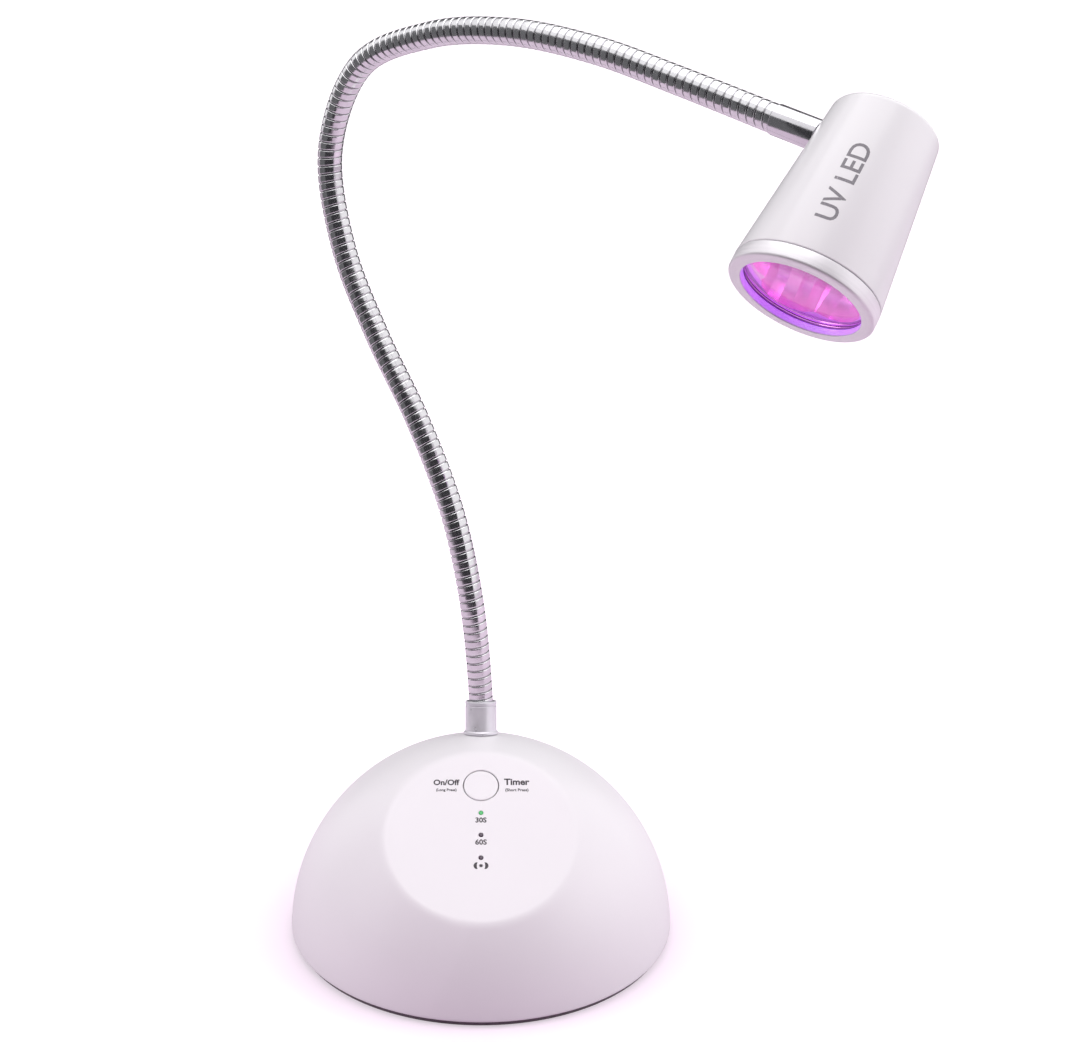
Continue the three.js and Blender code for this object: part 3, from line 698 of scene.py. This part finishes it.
def lip_rows(rim, lip):
    """The rounded lower edge that runs inwards from the rim's ring of points."""
    outward = rim[:, :2] / np.linalg.norm(rim[:, :2], axis=1)[:, None]
    rings = []
    for angle in np.radians([18, 36, 54, 72, 90]):
        ring = rim.copy()
        ring[:, :2] -= outward * lip * (1 - math.cos(angle))
        ring[:, 2] -= lip * math.sin(angle)
        rings.append(ring)
    return rings


def grid_faces(rings, columns):
    faces = []
    for low, high in zip(rings, rings[1:]):
        for i in range(columns):
            j = (i + 1) % columns
            faces.append([low + i, low + j, high + j, high + i])
    return faces


def dome_shell():
    columns = 224
    outer = dome_rows(DOME_RADIUS, PANEL_DISTANCE, DOME_FOOT + DOME_LIP, columns)
    inner = dome_rows(DOME_RADIUS - DOME_WALL, PANEL_DISTANCE - DOME_WALL, DOME_FOOT, columns)
    rings = [*outer, *lip_rows(outer[-1], DOME_LIP), *inner[::-1]]
    points = [tuple(p) for ring in rings for p in ring]
    faces = grid_faces([i * columns for i in range(len(rings))], columns)
    last = (len(rings) - 1) * columns
    for first, distance in ((0, PANEL_DISTANCE), (last, PANEL_DISTANCE - DOME_WALL)):
        middle = len(points)
        points.append(tuple(PANEL_TURN @ Vector((0, 0, distance))))
        faces += [[middle, first + i, first + (i + 1) % columns] for i in range(columns)]
    shell = piece("dome_shell", points, faces)
    carve(shell, dome_holes(), 32)
    worn(shell, LOOKS["white_plastic"], "white_plastic", "base", "base_shell")


def dome_holes():
    """Cutters for the button, the lights, the stem and the charging port."""
    flare = 0.16
    bore = BUTTON_RADIUS + BUTTON_GAP
    button_hole = lathe("cutter", [
        (0, -6), (bore, -6), (bore, -flare), (bore + 2 * flare, flare), (0, flare),
    ], on_panel(BUTTON_UP), 96)
    light_holes = [drill(LIGHT_RADIUS + 0.12, -6, 1, on_panel(up), 32) for up in LIGHTS_UP]
    stem_hole = drill(STEM_HOLE_RADIUS, 50, 70, STEM, 48)
    port_hole = slot_tube("cutter", [
        (PORT_WIDTH + 0.6, PORT_HEIGHT + 0.6, -10), (PORT_WIDTH + 0.6, PORT_HEIGHT + 0.6, 0.3),
        (PORT_WIDTH + 2.2, PORT_HEIGHT + 2.2, 1.4),
    ], PORT)
    return [button_hole, *light_holes, stem_hole, port_hole]


def floor_pad():
    """The rubber sheet under the base, with two fine rings moulded into its underside."""
    outline = [(0, PAD_THICKNESS, 0), (0, 0.0, 0)]
    for groove in PAD_GROOVES:
        outline += [
            (groove - 0.9, 0, 0.2), (groove - 0.5, 0.45, 0.1),
            (groove + 0.5, 0.45, 0.1), (groove + 0.9, 0, 0.2),
        ]
    outline += [(PAD_RADIUS, 0, 0.4), (PAD_RADIUS, PAD_THICKNESS, 0.2)]
    pad = lathe("floor_pad", rounded(outline), segments=160)
    worn(pad, LOOKS["pad_rubber"], "pad_rubber", "base", "base_pad")


def button_cap():
    flange = BUTTON_RADIUS + 1.2
    cap = lathe("button_cap", rounded([
        (0, -3.5, 0), (flange, -3.5, 0.15), (flange, -2.8, 0.15), (BUTTON_RADIUS, -2.8, 0.1),
        (BUTTON_RADIUS, 0, 0.3), (BUTTON_RADIUS - 1.4, -0.03, 0), (0, -0.12, 0),
    ]), on_panel(BUTTON_UP), 128, 50)
    worn(cap, LOOKS["white_plastic"], "white_plastic", "button", "power_button")


def light_dots():
    for i, up in enumerate(LIGHTS_UP):
        dot = lathe(f"light_dot_{i + 1}", [
            (0, -8.7), (1.4, -8.7), (1.4, -2.8), (LIGHT_RADIUS, -2.8), (LIGHT_RADIUS, -0.1),
            (LIGHT_RADIUS * 0.92, 0.02), (LIGHT_RADIUS * 0.6, 0.1), (0, 0.13),
        ], on_panel(up), 40, 50)
        slot = "light_green" if i == 0 else "light_dark"
        worn(dot, LOOKS[slot], slot, "base", f"light_pipe_{i + 1}")


def charging_port():
    back = -PORT_DEPTH
    inset = 2 * PORT_WALL
    lip = 0.16
    rings = ((0, back), (0, -0.12), (lip, 0), (inset - lip, 0), (inset, -0.14), (inset, back + 1))
    shell = slot_tube(
        "port_shell", [(PORT_WIDTH - less, PORT_HEIGHT - less, along) for less, along in rings], PORT
    )
    worn(shell, LOOKS["port_steel"], "port_steel", "base", "usb_socket")
    tongue = block("port_tongue", (6.6, 0.7, 5.2), (0, 0, back + 3.4), PORT, 0.12)
    worn(tongue, LOOKS["black_plastic"], "black_plastic", "base")
    for i in range(PORT_PINS):
        across = (i - (PORT_PINS - 1) / 2) * PORT_PIN_PITCH
        pin = block(f"port_pin_{i + 1}", (0.3, 0.78, 3.4), (across, 0, back + 4), PORT, 0.05)
        worn(pin, LOOKS["zinc_steel"], "zinc_steel", "base")


def print_text(name, words, up, across, width, place, heavy):
    """Words printed flat on a face, width millimetres wide, centred at across and up.

    heavy moves the outlines of the letters out, as a share of the font's size.
    """
    curve = bpy.data.curves.new(name, "FONT")
    curve.body = words
    curve.align_x = "CENTER"
    curve.align_y = "CENTER"
    curve.offset = heavy
    curve.extrude = 0.01
    curve.resolution_u = 4
    text = linked(name, curve)
    bpy.context.view_layer.update()
    graph = bpy.context.evaluated_depsgraph_get()
    mesh = bpy.data.meshes.new_from_object(text.evaluated_get(graph))
    bpy.data.objects.remove(text)
    points = np.array([v.co for v in mesh.vertices])
    middle = (points.max(0) + points.min(0)) / 2
    scale = width / (points.max(0)[0] - points.min(0)[0])
    for v, p in zip(mesh.vertices, (points - middle) * scale):
        v.co = Vector((p[0] + across, p[1] + up, math.copysign(PRINT_LIFT, p[2]))) * MM
    return finished(name, mesh, place, 30)


def panel_print():
    labels = (
        ("print_power", "On/Off", 19.3, -11, 8.3, 0.034),
        ("print_power_how", "(Long Press)", 16.4, -11, 6.5, 0.03),
        ("print_timer", "Timer", 19.5, 11.4, 8.1, 0.034),
        ("print_timer_how", "(Short Press)", 16.35, 11.4, 7.4, 0.03),
        ("print_30", "30S", LIGHTS_UP[0] - 2.65, 0, 3.5, 0.03),
        ("print_60", "60S", LIGHTS_UP[1] - 2.55, 0, 3.6, 0.03),
    )
    for name, words, up, across, width, heavy in labels:
        text = print_text(name, words, up, across, width, PANEL, heavy)
        worn(text, DARK_INK, "light_dark", "base")


def mode_sign():
    """The third light's sign: a pair of heavy brackets round a small star."""
    up = LIGHTS_UP[2] - 2.8
    tall = 1.3
    angles = np.radians(np.linspace(-62, 62, 9))
    for side, name in ((-1, "sign_left"), (1, "sign_right")):
        outline = [(side * (0.95 + 1.35 * math.cos(a)), up + tall * math.sin(a)) for a in angles]
        outline += [(side * (0.75 + 0.55 * math.cos(a)), up + tall * math.sin(a)) for a in angles[::-1]]
        print_shape(name, outline)
    star = []
    for i in range(16):
        reach = 0.75 if i % 2 == 0 else 0.42
        star.append((reach * math.cos(i * math.pi / 8), up + reach * math.sin(i * math.pi / 8)))
    print_shape("sign_star", star)


def print_shape(name, outline):
    """A flat printed shape with straight sides, on the panel."""
    count = len(outline)
    points = [(x, y, -PRINT_LIFT) for x, y in outline] + [(x, y, PRINT_LIFT) for x, y in outline]
    faces = [list(range(count))[::-1], list(range(count, 2 * count))]
    for i in range(count):
        j = (i + 1) % count
        faces.append([i, j, count + j, count + i])
    worn(piece(name, points, faces, PANEL), DARK_INK, "light_dark", "base")


def stem_collar():
    """The lower ferrule: a satin sleeve with a foot ring and a bright rolled rim."""
    seat = DOME_RADIUS + 0.05
    bore = NECK_RADIUS + 0.3
    bore_end = STEM_TOP - NECK_IN_FERRULE - 0.3
    foot = STEM_RADIUS + 0.5
    groove = STEM_RADIUS - 0.22
    collar = lathe("stem_collar", rounded([
        (LEAD_HOLE_RADIUS, STEM_ROOT, 0), (FERRULE_ROOT_RADIUS, STEM_ROOT, 0.2),
        (FERRULE_ROOT_RADIUS, seat, 0), (foot, seat, 0.1), (foot, seat + 0.7, 0.25),
        (STEM_RADIUS, seat + 1.1, 0.3), (STEM_RADIUS, STEM_TOP - 1.7, 0.1),
        (groove, STEM_TOP - 1.55, 0.05), (groove, STEM_TOP - 1.3, 0.05),
        (STEM_RADIUS, STEM_TOP - 1.15, 0.1), (STEM_RADIUS, STEM_TOP, 0.35), (bore, STEM_TOP, 0.25),
        (bore, bore_end, 0), (LEAD_HOLE_RADIUS, bore_end, 0),
    ]), STEM, 96)
    worn(collar, SATIN_CHROME, "chrome", "base", "lower_ferrule")


# ---- Gooseneck ------------------------------------------------------------------------------


def neck_line():
    """The gooseneck's centre line as closely spaced points, with the distance to each.

    It runs on past the CAD gooseneck's end by NECK_IN_COLLAR, into the upper ferrule.
    """
    stem = STEM.to_3x3()
    knots = [stem @ Vector((0, 0, STEM_TOP - NECK_IN_FERRULE)), stem @ Vector((0, 0, STEM_TOP))]
    knots += [in_neck_plane(*point) for point in NECK_ROUTE]
    knots.append(NECK_END + NECK_END_WAY * NECK_IN_COLLAR)
    knots = [np.array(k) for k in knots]
    knots = [2 * knots[0] - knots[1], *knots, 2 * knots[-1] - knots[-2]]
    steps = 120
    points = []
    for a, b, c, d in zip(knots, knots[1:], knots[2:], knots[3:]):
        ab, bc, cd = (math.sqrt(np.linalg.norm(q - p)) for p, q in ((a, b), (b, c), (c, d)))
        leave = ((b - a) / ab - (c - a) / (ab + bc) + (c - b) / bc) * bc
        arrive = ((c - b) / bc - (d - b) / (bc + cd) + (d - c) / cd) * bc
        for t in np.linspace(0, 1, steps, endpoint=False):
            cubic = (2 * t ** 3 - 3 * t ** 2 + 1) * b + (t ** 3 - 2 * t ** 2 + t) * leave
            points.append(cubic + (3 * t ** 2 - 2 * t ** 3) * c + (t ** 3 - t ** 2) * arrive)
    points.append(knots[-2])
    points = np.array(points)
    along = np.concatenate([[0], np.cumsum(np.linalg.norm(np.diff(points, axis=0), axis=1))])
    return points, along


def neck_frames(points):
    """A tangent and two sides at each point, carried along the line without twisting."""
    ways = np.gradient(points, axis=0)
    ways /= np.linalg.norm(ways, axis=1)[:, None]
    side = np.cross(ways[0], (0, 0, 1.0))
    sides = []
    for way in ways:
        side = side - way * side.dot(way)
        side = side / np.linalg.norm(side)
        sides.append(side)
    sides = np.array(sides)
    return ways, sides, np.cross(ways, sides)


def at_distance(distance, along, table):
    """The row of table at a distance along the line, between its points."""
    return np.array([np.interp(distance, along, table[:, k]) for k in range(3)])


def rib_profile():
    """One turn of the hose in section: places along the pitch and the radius at each."""
    squareness = 24
    steps = NECK_RIB_ROWS - 4
    crown = [0.5 * NECK_RIB_BAND * (1 - math.cos(math.pi * i / steps)) for i in range(steps + 1)]
    places = crown + [NECK_RIB_BAND + (1 - NECK_RIB_BAND) * share for share in (0.25, 0.5, 0.75)]
    radii = []
    for at in places:
        across = min(1, abs(2 * at / NECK_RIB_BAND - 1))
        radii.append(NECK_GROOVE + (NECK_RADIUS - NECK_GROOVE) * (1 - across ** squareness) ** 0.5)
    return places, radii


class HoseSkin:
    """The points of one stretch of spiral hose, with how much of the groove's painted shade each one
    holds.

    A grid of point numbers has a row for each step along the hose and a column for each of its
    sides. Its rows climb by one pitch on their way round, so a row ends where the row one turn
    later starts, and that point is the row's last column.
    """

    def __init__(self, points, along, across, up):
        self.points = points
        self.along = along
        self.across = across
        self.up = up
        self.made = []
        self.shades = []

    def add(self, turn, column, radius):
        distance = NECK_PITCH * (turn + column / NECK_SIDES)
        centre = at_distance(distance, self.along, self.points)
        first = at_distance(distance, self.along, self.across)
        second = at_distance(distance, self.along, self.up)
        angle = 2 * math.pi * column / NECK_SIDES
        self.made.append(centre + radius * (math.cos(angle) * first + math.sin(angle) * second))
        # Deeper in the groove, more painted shade.
        shade = (NECK_RADIUS - NECK_SHADE_START - radius) / (NECK_RADIUS - NECK_GROOVE)
        self.shades.append(min(1, max(0, shade * NECK_SHADE_GAIN)))
        return len(self.made) - 1

    def grid(self, steps):
        return [[self.add(turn, column, radius) for column in range(NECK_SIDES)] for turn, radius in steps]

    def close(self, grid, steps, rows_per_turn):
        for row, (turn, radius) in enumerate(steps):
            if row + rows_per_turn < len(grid):
                grid[row].append(grid[row + rows_per_turn][0])
            else:
                grid[row].append(self.add(turn, NECK_SIDES, radius))


def strips(grid):
    """Faces between each row of a grid of point numbers and the next."""
    faces = []
    for low, high in zip(grid, grid[1:]):
        for i in range(len(low) - 1):
            faces.append([low[i], low[i + 1], high[i + 1], high[i]])
    return faces


def hose_piece(name, line, start_turn, turns):
    """One hollow stretch of spiral hose, which starts and ends on the spiral's own edge."""
    places, radii = rib_profile()
    outer_steps = [(start_turn + t + p, r) for t in range(turns) for p, r in zip(places, radii)]
    outer_steps.append((start_turn + turns, radii[0]))
    inner_steps = [(start_turn + t, NECK_INSIDE) for t in range(turns + 1)]
    skin = HoseSkin(*line)
    outer = skin.grid(outer_steps)
    inner = skin.grid(inner_steps)
    skin.close(outer, outer_steps, NECK_RIB_ROWS)
    skin.close(inner, inner_steps, 1)

    faces = strips(outer) + strips(inner)
    faces += strips([outer[0], inner[0]]) + strips([outer[-1], inner[-1]])
    turn_rows = NECK_RIB_ROWS + 1
    faces.append([row[0] for row in outer[:turn_rows]] + [inner[1][0], inner[0][0]])
    faces.append([row[-1] for row in outer[-turn_rows:]] + [inner[-1][-1], inner[-2][-1]])

    hose = piece(name, skin.made, faces, WORLD, 60)
    # The groove attribute carries each point's share of the painted groove shade.
    groove = hose.data.attributes.new("groove", "FLOAT", "POINT")
    groove.data.foreach_set("value", skin.shades)
    return hose


def gooseneck():
    points, along = neck_line()
    ways, across, up = neck_frames(points)
    whole_turns = int(along[-1] / NECK_PITCH) - 1
    edges = [round(whole_turns * i / NECK_PIVOTS) for i in range(NECK_PIVOTS + 1)]
    for i in range(NECK_PIVOTS):
        hose = hose_piece(f"hose_{i + 1}", (points, along, across, up), edges[i], edges[i + 1] - edges[i])
        nodes = [f"neck_tube_{i + 1}"]
        if i == NECK_PIVOTS - 1:
            nodes.append(f"neck_tube_{i + 2}")
        worn(hose, LOOKS["neck_chrome"], "neck_chrome", None, *nodes)
        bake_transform(hose)


# ---- Head -----------------------------------------------------------------------------------


def head_radius(height):
    share = (height - BEZEL_HEIGHT) / (HEAD_LENGTH - BEZEL_HEIGHT)
    return BEZEL_RADIUS + (BACK_RADIUS - BEZEL_RADIUS) * share


def head_cup():
    cup = lathe("head_cup", rounded([
        (0, HEAD_LENGTH - HEAD_WALL, 0), (BACK_RADIUS - HEAD_WALL, HEAD_LENGTH - HEAD_WALL, 0.8),
        (HEAD_INNER_RADIUS, HEAD_MOUTH_END, 0), (HEAD_MOUTH_RADIUS, HEAD_MOUTH_END, 0),
        (HEAD_MOUTH_RADIUS, HEAD_MOUTH, 0), (head_radius(HEAD_MOUTH), HEAD_MOUTH, 0.25),
        (BACK_RADIUS, HEAD_LENGTH, BACK_EDGE), (0, HEAD_LENGTH, 0),
    ], 8), HEAD, 160)
    carve(cup, [drill(COLLAR_HOLE_RADIUS, 6, 24, FERRULE, 48)])
    worn(cup, LOOKS["white_paint"], "white_paint", "head", "head_shell")


def head_bezel():
    bezel = lathe("head_bezel", rounded([
        (LENS_OPENING, 0, 0.3), (BEZEL_RADIUS, 0, 0.9), (BEZEL_RADIUS, BEZEL_HEIGHT, 0.15),
        (BEZEL_TAIL_RADIUS, BEZEL_HEIGHT, 0), (BEZEL_TAIL_RADIUS, BEZEL_TAIL_END, 0.2),
        (LENS_POCKET, BEZEL_TAIL_END, 0), (LENS_POCKET, BEZEL_LIP, 0), (LENS_OPENING, BEZEL_LIP, 0.1),
    ], 6), HEAD, 160)
    worn(bezel, LOOKS["bezel_metal"], "bezel_metal", "head", "bezel_ring")


def head_window():
    gasket = lathe("head_gasket", rounded([
        (GASKET_INNER, GASKET_FRONT, 0.1), (GASKET_OUTER, GASKET_FRONT, 0.1),
        (GASKET_OUTER, GASKET_BACK, 0.1), (GASKET_INNER, GASKET_BACK, 0.1),
    ]), HEAD, 128)
    worn(gasket, LOOKS["gasket_rubber"], "gasket_rubber", "head", "lens_gasket")
    lens = lathe("head_lens", rounded([
        (0, LENS_FRONT, 0), (LENS_RADIUS, LENS_FRONT, 0.25), (LENS_RADIUS, LENS_BACK, 0.25),
        (0, LENS_BACK, 0),
    ]), HEAD, 128)
    worn(lens, LOOKS["lens_glass"], "lens_glass", "head", "lens")


def led_places():
    """A frame at each emitter's place in the head."""
    angles = [(i + 0.5) * 2 * math.pi / LED_COUNT for i in range(LED_COUNT)]
    return [HEAD @ placed(WORLD, (LED_CIRCLE * math.cos(a), LED_CIRCLE * math.sin(a), 0)) for a in angles]


def head_reflector():
    """Four faceted cups cut into one metallised block: they meet in sharp ridges."""
    dish = lathe("head_reflector", rounded([
        (0, REFLECTOR_FRONT, 0), (LENS_RADIUS, REFLECTOR_FRONT, 0.1),
        (LENS_RADIUS, REFLECTOR_STEP, 0.1), (REFLECTOR_BACK_RADIUS, REFLECTOR_STEP, 0),
        (REFLECTOR_BACK_RADIUS, REFLECTOR_BACK, 0.1), (0, REFLECTOR_BACK, 0),
    ]), HEAD, 96)
    mouth = REFLECTOR_FRONT - 0.05
    outline = [(0, mouth)]
    for share in np.linspace(0, 1, 7):
        radius = CUP_FLOOR_RADIUS + CUP_FLARE * (1 - share ** 1.6) ** 0.6
        outline.append((radius, mouth + CUP_DEPTH * share))
    outline.append((0, mouth + CUP_DEPTH))
    cups = [lathe("cutter", outline, place, CUP_FACETS) for place in led_places()]
    carve(dish, cups, 12)
    worn(dish, LOOKS["reflector_mirror"], "reflector_mirror", "head", "reflector")


def leds():
    dome = [(0, LED_BASE + 0.05), (LED_RADIUS, LED_BASE + 0.05)]
    for angle in np.radians([0, 20, 40, 60, 75]):
        dome.append((LED_RADIUS * math.cos(angle), LED_BASE - LED_HEIGHT * math.sin(angle)))
    dome.append((0, LED_BASE - LED_HEIGHT))
    for i, place in enumerate(led_places()):
        seat = block(f"led_seat_{i + 1}", (3.4, 3.4, 0.8), (0, 0, LED_BASE + 0.5), place, 0.12)
        worn(seat, LOOKS["led_board_aluminium"], "led_board_aluminium", "head")
        emitter = lathe(f"led_dome_{i + 1}", dome, place, 40, 60)
        worn(emitter, LOOKS["uv_emitter"], "uv_emitter", "head", f"uv_led_{i + 1}")


def head_collar():
    """The upper ferrule: a polished sleeve that takes in the gooseneck's last turn."""
    end = NECK_TO_HEAD_AXIS - 0.3
    seat = NECK_TO_HEAD_AXIS - COLLAR_SEAT
    outer = NECK_RADIUS + 0.25
    mouth = NECK_RADIUS + 0.08
    collar = lathe("head_collar", rounded([
        (COLLAR_BORE, COLLAR_ROOT, 0), (COLLAR_ROOT_RADIUS, COLLAR_ROOT, 0.2),
        (COLLAR_ROOT_RADIUS, COLLAR_SHOULDER, 0), (outer, COLLAR_SHOULDER, 0.1), (outer, end, 0.3),
        (mouth, end, 0.12), (mouth, seat, 0), (COLLAR_BORE, seat, 0),
    ]), FERRULE, 96)
    worn(collar, LOOKS["chrome"], "chrome", "head", "upper_ferrule")


def head_mark():
    """A plain word printed along the head, wrapped round its taper."""
    mark = print_text("head_mark", "UV LED", 0, 0, MARK_LENGTH, WORLD, 0.01)
    cuts = bmesh.new()
    cuts.from_mesh(mark.data)
    bmesh.ops.subdivide_edges(cuts, edges=cuts.edges[:], cuts=2, use_grid_fill=False)
    bmesh.ops.triangulate(cuts, faces=cuts.faces[:])
    cuts.to_mesh(mark.data)
    cuts.free()
    for v in mark.data.vertices:
        along, around, lift = v.co / MM
        height = MARK_HEIGHT + along
        radius = head_radius(height)
        angle = MARK_AROUND - around / radius
        out = radius + (PRINT_LIFT if lift > 0 else -PRINT_LIFT)
        v.co = Vector((out * math.cos(angle), out * math.sin(angle), height)) * MM
    mark.matrix_world = HEAD
    worn(mark, GREY_INK, "light_dark", "head")


# ---- Stage ----------------------------------------------------------------------------------


def camera():
    lens = bpy.data.cameras.new("camera")
    lens.lens = CAMERA_LENS
    lens.sensor_width = CAMERA_SENSOR
    lens.shift_x = CAMERA_SHIFT
    lens.clip_start = 0.01
    made = linked("camera", lens)
    made.location = CAMERA_PLACE
    made.rotation_euler = (CAMERA_TILT, 0, 0)
    bpy.context.scene.camera = made


def sheet(name, points, faces, look):
    """A thin sheet for the stage, with its points in metres."""
    mesh = bpy.data.meshes.new(name)
    mesh.from_pydata(points, [], faces)
    mesh.materials.append(look.material)
    return linked(name, mesh)


def floor():
    """A pale floor, darker close to the lamp by a painted shade, that metal mirrors less than the room."""
    look = Look("floor", Roughness=0.9, Emission_Color=(1, 1, 1, 1))
    look.color(look.noise(3, 2), (0.54, 0.415, 0.53), (0.56, 0.435, 0.55))
    path = look.add("ShaderNodeLightPath")
    from_lamp = look.add("ShaderNodeVectorMath", [(look.where, 0)], operation="LENGTH").outputs["Value"]
    # Less camera glow within about 10 cm of the lamp paints a faint shade round its foot.
    near = look.between(from_lamp, 0.44, 0.85, 0.06, 0.105)
    seen = look.arithmetic("MULTIPLY", path.outputs["Is Camera Ray"], near)
    mirrored = look.arithmetic("MULTIPLY", path.outputs["Is Glossy Ray"], FLOOR_MIRRORED)
    glow = look.arithmetic("ADD", seen, mirrored)
    look.links.new(glow, look.shader.inputs["Emission Strength"])
    corners = [(x * FLOOR_HALF, y * FLOOR_HALF, 0) for x, y in ((-1, -1), (1, -1), (1, 1), (-1, 1))]
    made = sheet("floor", corners, [[0, 1, 2, 3]], look)


def card(name, radius, high, start, end, mirrored, lit=None):
    """An upright curved card out of the camera's sight. Angles are degrees from -Y, to the right.

    Metal mirrors it in the tone mirrored. Where lit is given, it also lights what it faces.
    """
    steps = 24
    points, faces = [], []
    for i in range(steps + 1):
        angle = math.radians(start + (end - start) * i / steps)
        x, y = radius * math.sin(angle), -radius * math.cos(angle)
        points += [(x, y, 0), (x, y, high)]
    for i in range(steps):
        faces.append([2 * i, 2 * i + 2, 2 * i + 3, 2 * i + 1])
    look = Look(name, Roughness=1.0, Emission_Strength=1.0)
    look.shader.inputs["Base Color"].default_value = (0, 0, 0, 1)
    diffuse = look.add("ShaderNodeLightPath").outputs["Is Diffuse Ray"]
    glow = look.blend_colors(diffuse, mirrored, lit or mirrored, 0.4, 0.6)
    look.links.new(glow, look.shader.inputs["Emission Color"])
    made = sheet(name, points, faces, look)
    made.visible_camera = False
    made.visible_diffuse = lit is not None
    made.visible_shadow = False
    made.visible_transmission = False
    made.visible_volume_scatter = False


def soft_light(name, spot, aim, size, power, mirrored):
    light = bpy.data.lights.new(name, "AREA")
    light.shape = "RECTANGLE"
    light.size, light.size_y = size
    light.energy = power
    made = linked(name, light)
    made.location = spot
    made.visible_glossy = mirrored
    made.rotation_euler = (Vector(aim) - Vector(spot)).to_track_quat("-Z", "Y").to_euler()


def studio():
    world = bpy.data.worlds.new("studio")
    bpy.context.scene.world = world
    world.use_nodes = True
    sky = world.node_tree.nodes["Background"]
    sky.inputs["Color"].default_value = (1, 0.985, 1, 1)
    path = world.node_tree.nodes.new("ShaderNodeLightPath")
    bright = world.node_tree.nodes.new("ShaderNodeMath")
    power = world.node_tree.nodes.new("ShaderNodeMapRange")
    power.inputs["To Min"].default_value = ROOM_LIT
    power.inputs["To Max"].default_value = ROOM_SEEN
    world.node_tree.links.new(path.outputs["Is Glossy Ray"], bright.inputs[0])
    world.node_tree.links.new(path.outputs["Is Camera Ray"], bright.inputs[1])
    world.node_tree.links.new(bright.outputs[0], power.inputs["Value"])
    world.node_tree.links.new(power.outputs[0], sky.inputs["Strength"])
    soft_light("top", (0.1, 0.1, 1.3), (0, 0, 0.1), (1.2, 1.2), 7, True)
    soft_light("left", (-1.1, -0.35, 0.6), (0, 0, 0.15), (0.9, 0.9), 7.4, False)
    soft_light("right", (1.1, -0.2, 0.6), (0, 0, 0.15), (0.9, 0.9), 8.2, False)
    card("front_card", 0.42, 0.55, -56, 42, (0.03, 0.03, 0.033), (0.33, 0.225, 0.31))
    card("left_card", 0.42, 0.55, -112, -56, (0.13, 0.13, 0.135))
    card("back_card", 0.6, 0.8, 142, 218, (0.08, 0.08, 0.085))
    bpy.context.scene.view_settings.view_transform = "Standard"


camera()
studio()
floor()
dress_cad_nodes()
dome_shell()
floor_pad()
button_cap()
light_dots()
charging_port()
panel_print()
mode_sign()
stem_collar()
gooseneck()
head_cup()
head_bezel()
head_window()
head_reflector()
leds()
head_collar()
head_mark()
